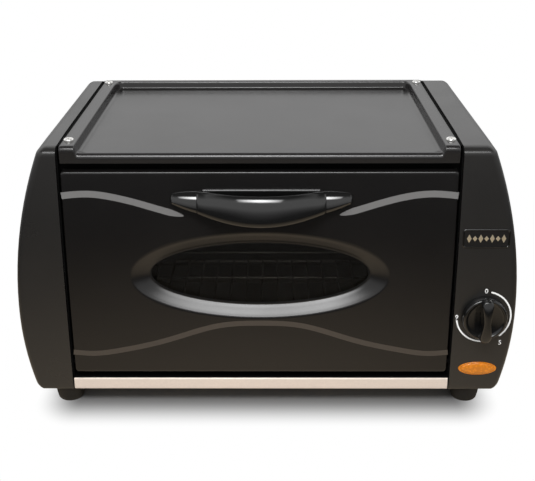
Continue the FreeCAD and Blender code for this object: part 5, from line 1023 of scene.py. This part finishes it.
# ------------------------------------------------------------------ controls
GRIP_SIDE = ((-0.06, 0, 0, 0), (-0.025, 0, 0, 3), (0.025, 0, 1, -3), (0.09, 0, 1, -0.6), (0.325, 0, 1, 0),
             (0.42, 0, 1, 0.2))
GRIP_SECTION = GRIP_SIDE + tuple((1 - share, 0, part, rise) for share, _, part, rise in GRIP_SIDE[::-1])
GRIP_MARGIN = 0.0013  # between the grip's ends and the skirt's rim
PRINT_LIFT = 0.00012  # of the dial's print over the panel


def grip_height(v):
    """Height of the grip's ridge at a share of its half length: it falls by a cube to both ends."""
    return sizes().control.grip - 0.0035 * np.abs(v) ** 3


def grip_points():
    """Upright waisted grip: along its length a loop of cosine-waisted width and arched height."""
    c = sizes().control
    v = np.linspace(-1.0, 1.0, 41)
    waist = 0.62 + 0.38 * np.sin(RIGHT_ANGLE * v) ** 2
    width = c.grip_width / 2 * waist * np.sqrt(1 - 0.55 * np.abs(v) ** 9)
    across, up = section(GRIP_SECTION, -width, width, c.skirt - 0.003, grip_height(v))
    return closed_tips(rounded_loop(spread(across, (c.radius - GRIP_MARGIN) * v, up), 4), 1, 0.0012, 5)


def knob_profile():
    """Skirt and dished face of the knob as (radius, height), from under the rim over it to the middle."""
    c = sizes().control
    r, s = c.radius, c.skirt
    rows = [(0.0035, c.lift), (r - 0.0006, c.lift), (r - 0.0001, c.lift + 0.0003), (r, c.lift + 0.001)]
    rows += [(r - inwards / 1e4, s + rise / 1e4) for inwards, rise in (
        (4, -26), (6, -16), (10, -8), (16, -2), (23, 1), (30, 1), (36, -2), (41, -9))]
    edge, height = rows[-1]
    for part in np.linspace(0.0, 1.0, 10)[1:]:
        rows.append((edge * (1 - part), height - 0.0024 * math.sin(RIGHT_ANGLE * part)))
    return rows


def arc_band(radius, width, start, stop):
    """Flat printed arc, clockwise from the top, between two angles in degrees."""
    angle = np.radians(np.linspace(start, stop, 90))[:, None]
    across = radius + width * np.linspace(-0.5, 0.5, 3)[None]
    return spread(across * np.sin(angle), 0.0, across * np.cos(angle))


def on_panel(points, x, z, lift):
    """A flat print laid on the crowned front about (x, z), lifted by a hair."""
    drawn = points.copy()
    drawn[..., 1] = crown(drawn[..., 2]) - lift
    return on_front(drawn, x, z)


def number_mesh(text, height):
    """Flat mesh of a printed number about its own middle, as x and y."""
    curve = bpy.data.curves.new("figure", "FONT")
    curve.body = text
    curve.size = height * 1.35
    curve.align_x = curve.align_y = "CENTER"
    curve.offset = height * 0.012
    curve.resolution_u = 6
    holder = new_object("figure", curve)
    mesh = bpy.data.meshes.new_from_object(holder.evaluated_get(bpy.context.evaluated_depsgraph_get()))
    bpy.data.objects.remove(holder)
    return mesh


class TANDOOR_OT_knob(bpy.types.Operator):
    """Builds the control knob with its dished face, grip and pointer line"""
    bl_idname = "tandoor.knob"
    bl_label = "Knob"

    def execute(self, context):
        c = sizes().control
        disc, grip = (on_front(outwards(shape), c.x, c.z) for shape in (lathe(knob_profile()), grip_points()))
        centre = on_front(np.array([0.0, -c.skirt / 2, 0.0]), c.x, c.z)
        add_piece("knob_moulding", [patch(disc, centre), swept(grip)], "knob_plastic", "knob",
                  ["control_knob"], angle=55.0)
        along = np.linspace(0.30, 0.93, 12)[:, None] * c.radius
        across = np.linspace(-0.5, 0.5, 3) * 0.0011
        height = 0.00006 + grip_height(along / (c.radius - GRIP_MARGIN))
        line = on_front(spread(across, -height, along), c.x, c.z)
        add_piece("knob_pointer", [patch(line, centre)], "dial_print", "knob", wall=0.0003)
        return {"FINISHED"}


class TANDOOR_OT_dial(bpy.types.Operator):
    """Builds the printed arcs and plain numbers round the knob"""
    bl_idname = "tandoor.dial"
    bl_label = "Dial"

    def execute(self, context):
        c = sizes().control
        behind = on_front(np.array([0.0, 0.05, 0.0]), c.x, c.z)
        for name, start, stop in (("dial_arc_right", 12.0, 141.0), ("dial_arc_left", 174.0, 262.0)):
            band = on_panel(arc_band(c.ring, c.ring_width, start, stop), c.x, c.z, PRINT_LIFT)
            add_piece(name, [patch(band, behind)], "dial_print", "chassis", wall=0.00008)
        for text, x, z in (("0", 0.0008, 0.0274), ("5", 0.0185, -0.0285), ("9", -0.0269, -0.0007)):
            mesh = number_mesh(text, c.figure)
            flat = np.array([v.co for v in mesh.vertices], np.float32)
            drawn = on_panel(spread(flat[:, 0] + x, flat[:, 2], flat[:, 1] + z), c.x, c.z, PRINT_LIFT)
            mesh.vertices.foreach_set("co", drawn.astype(np.float32).ravel())
            mesh.update()
            figure = new_object("dial_number_" + text, mesh)
            thicken(figure, 0.00008)
            dress(figure, "dial_print", "chassis")
        return {"FINISHED"}


class TANDOOR_OT_lens(bpy.types.Operator):
    """Builds the domed oval indicator lens"""
    bl_idname = "tandoor.lens"
    bl_label = "Indicator lens"

    def execute(self, context):
        c = sizes().control
        angle = np.linspace(0.0, 2 * np.pi, 97)
        theta = np.linspace(0.0, RIGHT_ANGLE, 12)
        part = np.concatenate([0.86 * np.sin(theta), [0.87, 0.885, 0.95, 0.985, 1.0, 1.0, 0.0]])[:, None]
        rise = np.concatenate([0.0012 + 0.0014 * np.cos(theta),
                               [0.0008, 0.0010, 0.0011, 0.0009, 0.0004, 0.0, 0.0]])[:, None]
        oval = spread(c.lens_wide * part * np.cos(angle), -rise, c.lens_tall * part * np.sin(angle))
        centre = on_front(np.array([0.0, -0.0004, 0.0]), c.lens_x, c.lens_z)
        add_piece("lens_moulding", [patch(on_front(oval, c.lens_x, c.lens_z), centre)], "amber_lens",
                  "chassis", ["indicator_lens"])
        return {"FINISHED"}


# Insets, rises and corner radii of the badge's frame and field, in metres
BADGE_FRAME = ((0.0, 0.0, 0.003), (0.0, 0.0007, 0.003), (0.0003, 0.001, 0.0027), (0.0008, 0.0011, 0.0022),
               (0.0013, 0.001, 0.0018), (0.0016, 0.0006, 0.0018), (0.0016, 0.0, 0.0018), (0.0, 0.0, 0.003))
BADGE_FIELD = ((0.0015, 0.0, 0.0016125), (0.0015, 0.00045, 0.0016125), (0.006, 0.00045, 0.00105),
               (0.0095, 0.00045, 0.0006125))


class TANDOOR_OT_badge(bpy.types.Operator):
    """Builds the plain badge: a raised frame, a dark field and a row of diamonds"""
    bl_idname = "tandoor.badge"
    bl_label = "Badge"

    def execute(self, context):
        c = sizes().control
        half_x, half_z = c.badge_wide / 2, c.badge_tall / 2

        def rings(table):
            rows = []
            for inset, rise, corner in table:
                inset = min(inset, half_z)
                x, z = frame_ring(half_x - inset, half_z - inset, corner, 10, 6).T
                rows.append(spread(x, -rise, z))
            return on_front(np.stack(rows), c.badge_x, c.badge_z)

        behind = on_front(np.array([0.0, 0.05, 0.0]), c.badge_x, c.badge_z)
        add_piece("badge_frame", [swept(rings(BADGE_FRAME).transpose(1, 0, 2))], "badge_gloss", "chassis",
                  ["badge_plate"])
        add_piece("badge_field", [patch(rings(BADGE_FIELD), behind)], "badge_field", "chassis")
        marks = []
        grow = np.array([1.0, 1.0, 0.55, 0.0])[:, None]
        rise = np.array([0.0004, 0.00065, 0.0008, 0.0008])[:, None]
        for place, tall in zip(range(-3, 4), (0.0042, 0.0027) * 3 + (0.0042,)):
            x, z = np.array([[-0.0023, 0, 0.0023, 0, -0.0023], [0, tall, 0, -tall, 0]])
            mark = spread(place * 0.0056 + x * grow, -rise, z * grow)
            marks.append(patch(on_front(mark, c.badge_x, c.badge_z), behind))
        add_piece("badge_marks", marks, "badge_metal", "chassis", angle=20.0)
        return {"FINISHED"}


# ------------------------------------------------------------------ rail and feet
def rail_points(profile, left, right):
    """A profile of (y, z) points carried from left to right, and closed to its middle at both ends."""
    profile = np.array(profile)
    centre = profile.mean(0)
    x = np.array([left, *np.linspace(left, right, 24), right])[:, None]
    grow = np.ones((len(x), 1, 1))
    grow[[0, -1]] = 0.0
    y, z = (centre + (np.concatenate([profile, profile[:1]]) - centre) * grow).transpose(2, 0, 1)
    return spread(x, y, z)


class TANDOOR_OT_rail(bpy.types.Operator):
    """Builds the rail under the door: a bright bent strip, and behind its edge a matt black strip of painted
    shadow
    """
    bl_idname = "tandoor.rail"
    bl_label = "Front rail"

    def execute(self, context):
        low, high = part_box("front_rail")
        face = np.linspace(low[2] + 0.001, high[2] - 0.0015, 6)
        sunk = 0.0005
        profile = list(zip(front_y(face, sunk), face))
        edge, foot, top = float(front_y(high[2], sunk)), profile[0][0], high[2]
        profile += [(edge + out / 1e5, top - fall / 1e5) for out, fall in (
            (12, 80), (50, 25), (120, 0), (180, 30), (180, 100), (140, 120), (120, 140))]
        profile += [(foot + 0.0011, low[2] + 0.0012), (foot + 0.0011, low[2]), (foot + 0.0002, low[2])]
        add_piece("rail_strip", [swept(rail_points(profile, low[0], high[0]))], "bright_trim", "chassis",
                  ["front_rail"])
        # Painted shadow: a matt black strip behind the rail's edge, under the door, where the gap is in
        # shade.
        near, far, under, over = edge + 0.0016, high[1], top - 0.0012, top - 0.0005
        shadow_strip = [(near, under), (near, over), (far, over), (far, under)]
        add_piece("rail_shelf", [swept(rail_points(shadow_strip, low[0], high[0]))], "matt_black", "chassis")
        return {"FINISHED"}


class TANDOOR_OT_feet(bpy.types.Operator):
    """Builds the four moulded feet"""
    bl_idname = "tandoor.feet"
    bl_label = "Feet"

    def execute(self, context):
        for name in ("foot_front_left", "foot_front_right", "foot_rear_left", "foot_rear_right"):
            low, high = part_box(name)
            x, y, top = (low[0] + high[0]) / 2, (low[1] + high[1]) / 2, high[2]
            r = (high[0] - low[0]) / 2
            tip = r - 0.0025
            rows = [(0.0052, 0.0082), (0.0052, 0.0012), (0.006, 0.0003), (0.0068, 0.0), (tip - 0.002, 0.0),
                    (tip - 0.0008, 0.0004), (tip - 0.0001, 0.0014), (tip + 0.0008, 0.006),
                    (r - 0.0006, 0.0155), (r - 0.0001, 0.0172), (r, top - 0.0012),
                    (r - 0.0003, top - 0.0004), (r - 0.001, top), (0.0052, top), (0.0052, 0.0082)]
            shape = lathe(rows, 64).transpose(1, 0, 2) + np.array([x, y, 0.0])
            add_piece(name + "_moulding", [swept(shape)], "foot_rubber", "chassis", [name],
                      angle=45.0)
        return {"FINISHED"}


# ------------------------------------------------------------------ CAD nodes that stay
# finish, slot, nodes
KEPT_FINISHES = (
    ("body_paint", "body_paint", ("rear_cover",)),
    # Painted shade: the end walls and the cavity's front frame are galvanised steel, made matt black so that
    # the slots read dark.
    ("matt_black", "galvanised_steel", ("left_end_wall", "right_end_wall", "cavity_front_frame")),
    ("oven_enamel", "galvanised_steel", (
        "cavity_roof", "cavity_rear_wall", "cavity_floor", "door_inner_panel")),
    ("galvanised_steel", "galvanised_steel", (
        "base_pan", "door_stops", "heater_supports", "rack_runner_left", "rack_runner_right", "probe_clips",
        "glass_clips", "thermostat_body", "thermostat_shaft")),
    ("plated_screw", "plated_screw", (
        "top_plate_screws", "rear_cover_screws", "panel_screws", "foot_screws", "foot_nuts",
        "door_stop_screws", "thermostat_screws", "handle_screws")),
    ("matt_black", "plated_screw", ("hinge_pin_left", "hinge_pin_right")),
    ("matt_black", "bush_plastic", ("hinge_bush_left", "hinge_bush_right")),
    ("black_rubber", "black_rubber", ("cable_inlet_bush", "glass_gasket")),
    ("oven_glass", "oven_glass", ("door_glass",)),
    ("bush_plastic", "bush_plastic", ("indicator_lamp",)),
    ("heater_sheath", "heater_sheath", ("upper_heater", "lower_heater")),
    ("ceramic", "ceramic", ("heater_insulators", "terminal_block")),
    ("rack_chrome", "rack_chrome", ("wire_rack",)),
    ("probe_metal", "probe_metal", ("thermostat_probe",)),
    ("brass_fitting", "brass_fitting", ("earth_screw", "thermal_cutout")),
    ("wire_sleeve", "wire_sleeve", ("internal_wiring",)),
)


class TANDOOR_OT_kept(bpy.types.Operator):
    """Gives every CAD node that stays visible its finish"""
    bl_idname = "tandoor.kept"
    bl_label = "Kept parts"

    def execute(self, context):
        done = set()
        for finish, slot, names in KEPT_FINISHES:
            for name in names:
                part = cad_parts[name]
                part.data.materials.clear()
                part.data.materials.append(material(finish))
                done.add(name)
        left = [n for n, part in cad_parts.items() if n not in done and not part.hide_render]
        if left:
            raise RuntimeError(f"no finish for {left}")
        return {"FINISHED"}


# ------------------------------------------------------------------ studio
CAMERA_PLACE = (0.0074, -0.87966, 0.5290)
CAMERA_TURN = tuple(math.radians(v) for v in (-0.48, 24.63, -0.23))  # yaw, pitch down, roll
CAMERA_LENS = 57.55
# Painted shadow: within about 5 cm of this rectangle the floor stays darker to the camera.
PAINTED_SHADOW_FOOTPRINT = (0.195, 0.128, 1.0)  # half sizes of the part's place on the floor
# Painted reflection: the warm floor colour that only gloss sees.
PAINTED_WARM_REFLECTION = (1.0, 0.82, 0.60, 1.0)  # as gloss sees it
PLAIN_LIGHT = 0.56  # strength of the surroundings as light


def camera_matrix():
    """Camera axes: a level view along +Y, pitched down, turned about the upright and rolled."""
    yaw, pitch, roll = CAMERA_TURN
    return (Matrix.Translation(CAMERA_PLACE) @ Matrix.Rotation(-yaw, 4, "Z")
            @ Matrix.Rotation(RIGHT_ANGLE - pitch, 4, "X") @ Matrix.Rotation(roll, 4, "Z"))


def soft_light(name, place, aim, size, power):
    """A rectangular soft light that looks from place at aim, and fades from its middle to its rim."""
    lamp = bpy.data.lights.new(name, "AREA")
    lamp.shape = "RECTANGLE"
    lamp.size, lamp.size_y = size
    lamp.energy = power
    lamp.use_nodes = True
    tree = lamp.node_tree
    spot = node(tree, "ShaderNodeSeparateXYZ", node(tree, "ShaderNodeNewGeometry").outputs["Parametric"])
    falls = []
    for axis, rim in (("X", 0.25), ("Y", 0.45)):
        off = maths("ABSOLUTE", maths("SUBTRACT", spot.outputs[axis], 0.5), 0.0)
        falls.append(ranged(off, 0.05, 0.5, 1.9, rim))
    fill(tree.nodes["Emission"], Strength=maths("MULTIPLY", *falls))
    holder = new_object(name, lamp)
    holder.location = place
    holder.rotation_euler = (Vector(place) - Vector(aim)).to_track_quat("Z", "Y").to_euler()
    holder.visible_camera = False


def floor_material():
    """Plain floor: keeps the shadow under the part and runs into the plain white background further out.

    The white grows with the distance from the part's footprint, a rectangle; nearer, the camera sees the
    floor darker than light bouncing off it does, a painted shadow round the part. Gloss sees a warm floor
    that fades as a power of the distance from the middle: a painted reflection.
    """
    made = bpy.data.materials.new("studio_floor")
    made.use_nodes = True
    tree = made.node_tree
    tree.nodes.clear()
    rays = node(tree, "ShaderNodeLightPath").outputs
    place = coordinates(tree, "Object")
    outside = place
    for operation, *value in (("ABSOLUTE",), ("SUBTRACT", PAINTED_SHADOW_FOOTPRINT), ("MAXIMUM", (0.0, 0.0, 0.0))):
        outside = node(tree, "ShaderNodeVectorMath", outside, *value, operation=operation).outputs["Vector"]
    outside, away = (node(tree, "ShaderNodeVectorMath", v, operation="LENGTH").outputs["Value"]
                     for v in (outside, place))
    seen = maths("MAXIMUM", rays["Is Camera Ray"], rays["Is Transmission Ray"])
    # Painted reflection: gloss sees a warm floor that fades with the distance from the middle.
    painted_reflection_fade = maths("MULTIPLY", maths("POWER", 0.07, away), 1.28)
    # Painted shadow: the camera sees the floor at 0.20, light bouncing off it sees 0.55.
    plain = mix_colour(rays["Is Camera Ray"], grey(0.55), grey(0.20))
    floor_with_painted_reflection = mix_colour(rays["Is Glossy Ray"], plain, mix_colour(painted_reflection_fade, grey(0.0), PAINTED_WARM_REFLECTION))
    paper = node(tree, "ShaderNodeBsdfDiffuse", Color=floor_with_painted_reflection)
    white = node(tree, "ShaderNodeEmission", Strength=1.0)
    # White from 5 cm beyond the footprint; the darker floor left nearer is painted shadow.
    far = ranged(outside, 0.0, 0.05, interpolation_type="SMOOTHSTEP")
    mix = node(tree, "ShaderNodeMixShader", maths("MULTIPLY", seen, far), paper.outputs[0], white.outputs[0])
    node(tree, "ShaderNodeOutputMaterial", mix.outputs[0])
    return made


def world_light():
    """Plain surroundings: full white to the camera and through glass, an even grey as light.

    Gloss sees a white backdrop behind the part up to a good height, a dark ceiling, and a dim room with a
    dark horizon in front.
    """
    world = bpy.data.worlds.new("Studio")
    bpy.context.scene.world = world
    world.use_nodes = True
    tree = world.node_tree
    tree.nodes.clear()
    rays = node(tree, "ShaderNodeLightPath").outputs
    axes = node(tree, "ShaderNodeSeparateXYZ", coordinates(tree, "Generated")).outputs
    up, behind = axes["Z"], ranged(axes["Y"], -0.12, 0.30)
    backdrop = maths("MULTIPLY", ranged(up, 0.19, 0.29, 0.5, 1.08), behind, ranged(up, 0.68, 0.86, 1.0, 0.06))
    room = maths("MULTIPLY", ranged(up, 0.02, 0.26, 0.05, 0.72), ranged(up, 0.62, 0.84, 1.0, 0.15))
    glossy = maths("ADD", backdrop, maths("MULTIPLY", maths("SUBTRACT", 1.0, behind), room))
    light = maths("MULTIPLY", rays["Is Glossy Ray"], maths("SUBTRACT", glossy, PLAIN_LIGHT))
    seen = maths("MAXIMUM", rays["Is Camera Ray"], rays["Is Transmission Ray"])
    strength = maths("MAXIMUM", maths("ADD", light, PLAIN_LIGHT), seen)
    ground = node(tree, "ShaderNodeBackground", grey(1.0), strength)
    node(tree, "ShaderNodeOutputWorld", ground.outputs[0])


class TANDOOR_OT_stage(bpy.types.Operator):
    """Builds the floor, the lights and the camera"""
    bl_idname = "tandoor.stage"
    bl_label = "Studio"

    def execute(self, context):
        disc = lathe([(radius, 0.0) for radius in (0.0, 0.4, 0.9, 1.3)])
        floor = new_object("studio_floor", build_mesh("studio_floor", [patch(disc, (0, 0, -1))]))
        floor.data.materials.append(floor_material())
        world_light()
        soft_light("key_light", (-0.05, -0.86, 1.22), (0.0, -0.08, 0.20), (1.3, 0.50), 10.5)
        camera_data = bpy.data.cameras.new("camera")
        camera_data.lens = CAMERA_LENS
        camera_data.sensor_width = 36.0
        camera_data.clip_start, camera_data.clip_end = 0.01, 20.0
        camera = new_object("camera", camera_data)
        camera.matrix_world = camera_matrix()
        context.scene.camera = camera
        context.scene.view_settings.view_transform = "Standard"
        return {"FINISHED"}


# ------------------------------------------------------------------ add-on
PIECE_OPERATORS = (
    TANDOOR_OT_side_panels, TANDOOR_OT_top_plate, TANDOOR_OT_door, TANDOOR_OT_handle, TANDOOR_OT_knob,
    TANDOOR_OT_dial, TANDOOR_OT_lens, TANDOOR_OT_badge, TANDOOR_OT_rail, TANDOOR_OT_feet, TANDOOR_OT_kept,
    TANDOOR_OT_stage,
)


class TANDOOR_PT_pieces(bpy.types.Panel):
    """Lists the pieces in the 3D view's sidebar"""
    bl_idname = "TANDOOR_PT_pieces"
    bl_label = "Tandoor"
    bl_space_type = "VIEW_3D"
    bl_region_type = "UI"
    bl_category = "Tandoor"

    def draw(self, context):
        for operator in PIECE_OPERATORS:
            self.layout.operator(operator.bl_idname, text=operator.bl_label)


CLASSES = (TandoorBodySizes, TandoorPlateSizes, TandoorDoorSizes, TandoorHandleSizes, TandoorControlSizes,
           TandoorColours, TandoorSettings) + PIECE_OPERATORS + (TANDOOR_PT_pieces,)


def register():
    """Registers the classes and hangs the settings on the scene."""
    for cls in CLASSES:
        bpy.utils.register_class(cls)
    bpy.types.Scene.tandoor = PointerProperty(type=TandoorSettings)


def unregister():
    """Takes the settings and classes away again."""
    del bpy.types.Scene.tandoor
    for cls in reversed(CLASSES):
        bpy.utils.unregister_class(cls)


def main():
    register()
    bpy.ops.tandoor.side_panels()
    bpy.ops.tandoor.top_plate()
    bpy.ops.tandoor.door()
    bpy.ops.tandoor.handle()
    bpy.ops.tandoor.knob()
    bpy.ops.tandoor.dial()
    bpy.ops.tandoor.lens()
    bpy.ops.tandoor.badge()
    bpy.ops.tandoor.rail()
    bpy.ops.tandoor.feet()
    bpy.ops.tandoor.kept()
    bpy.ops.tandoor.stage()


if __name__ == "__main__":
    main()
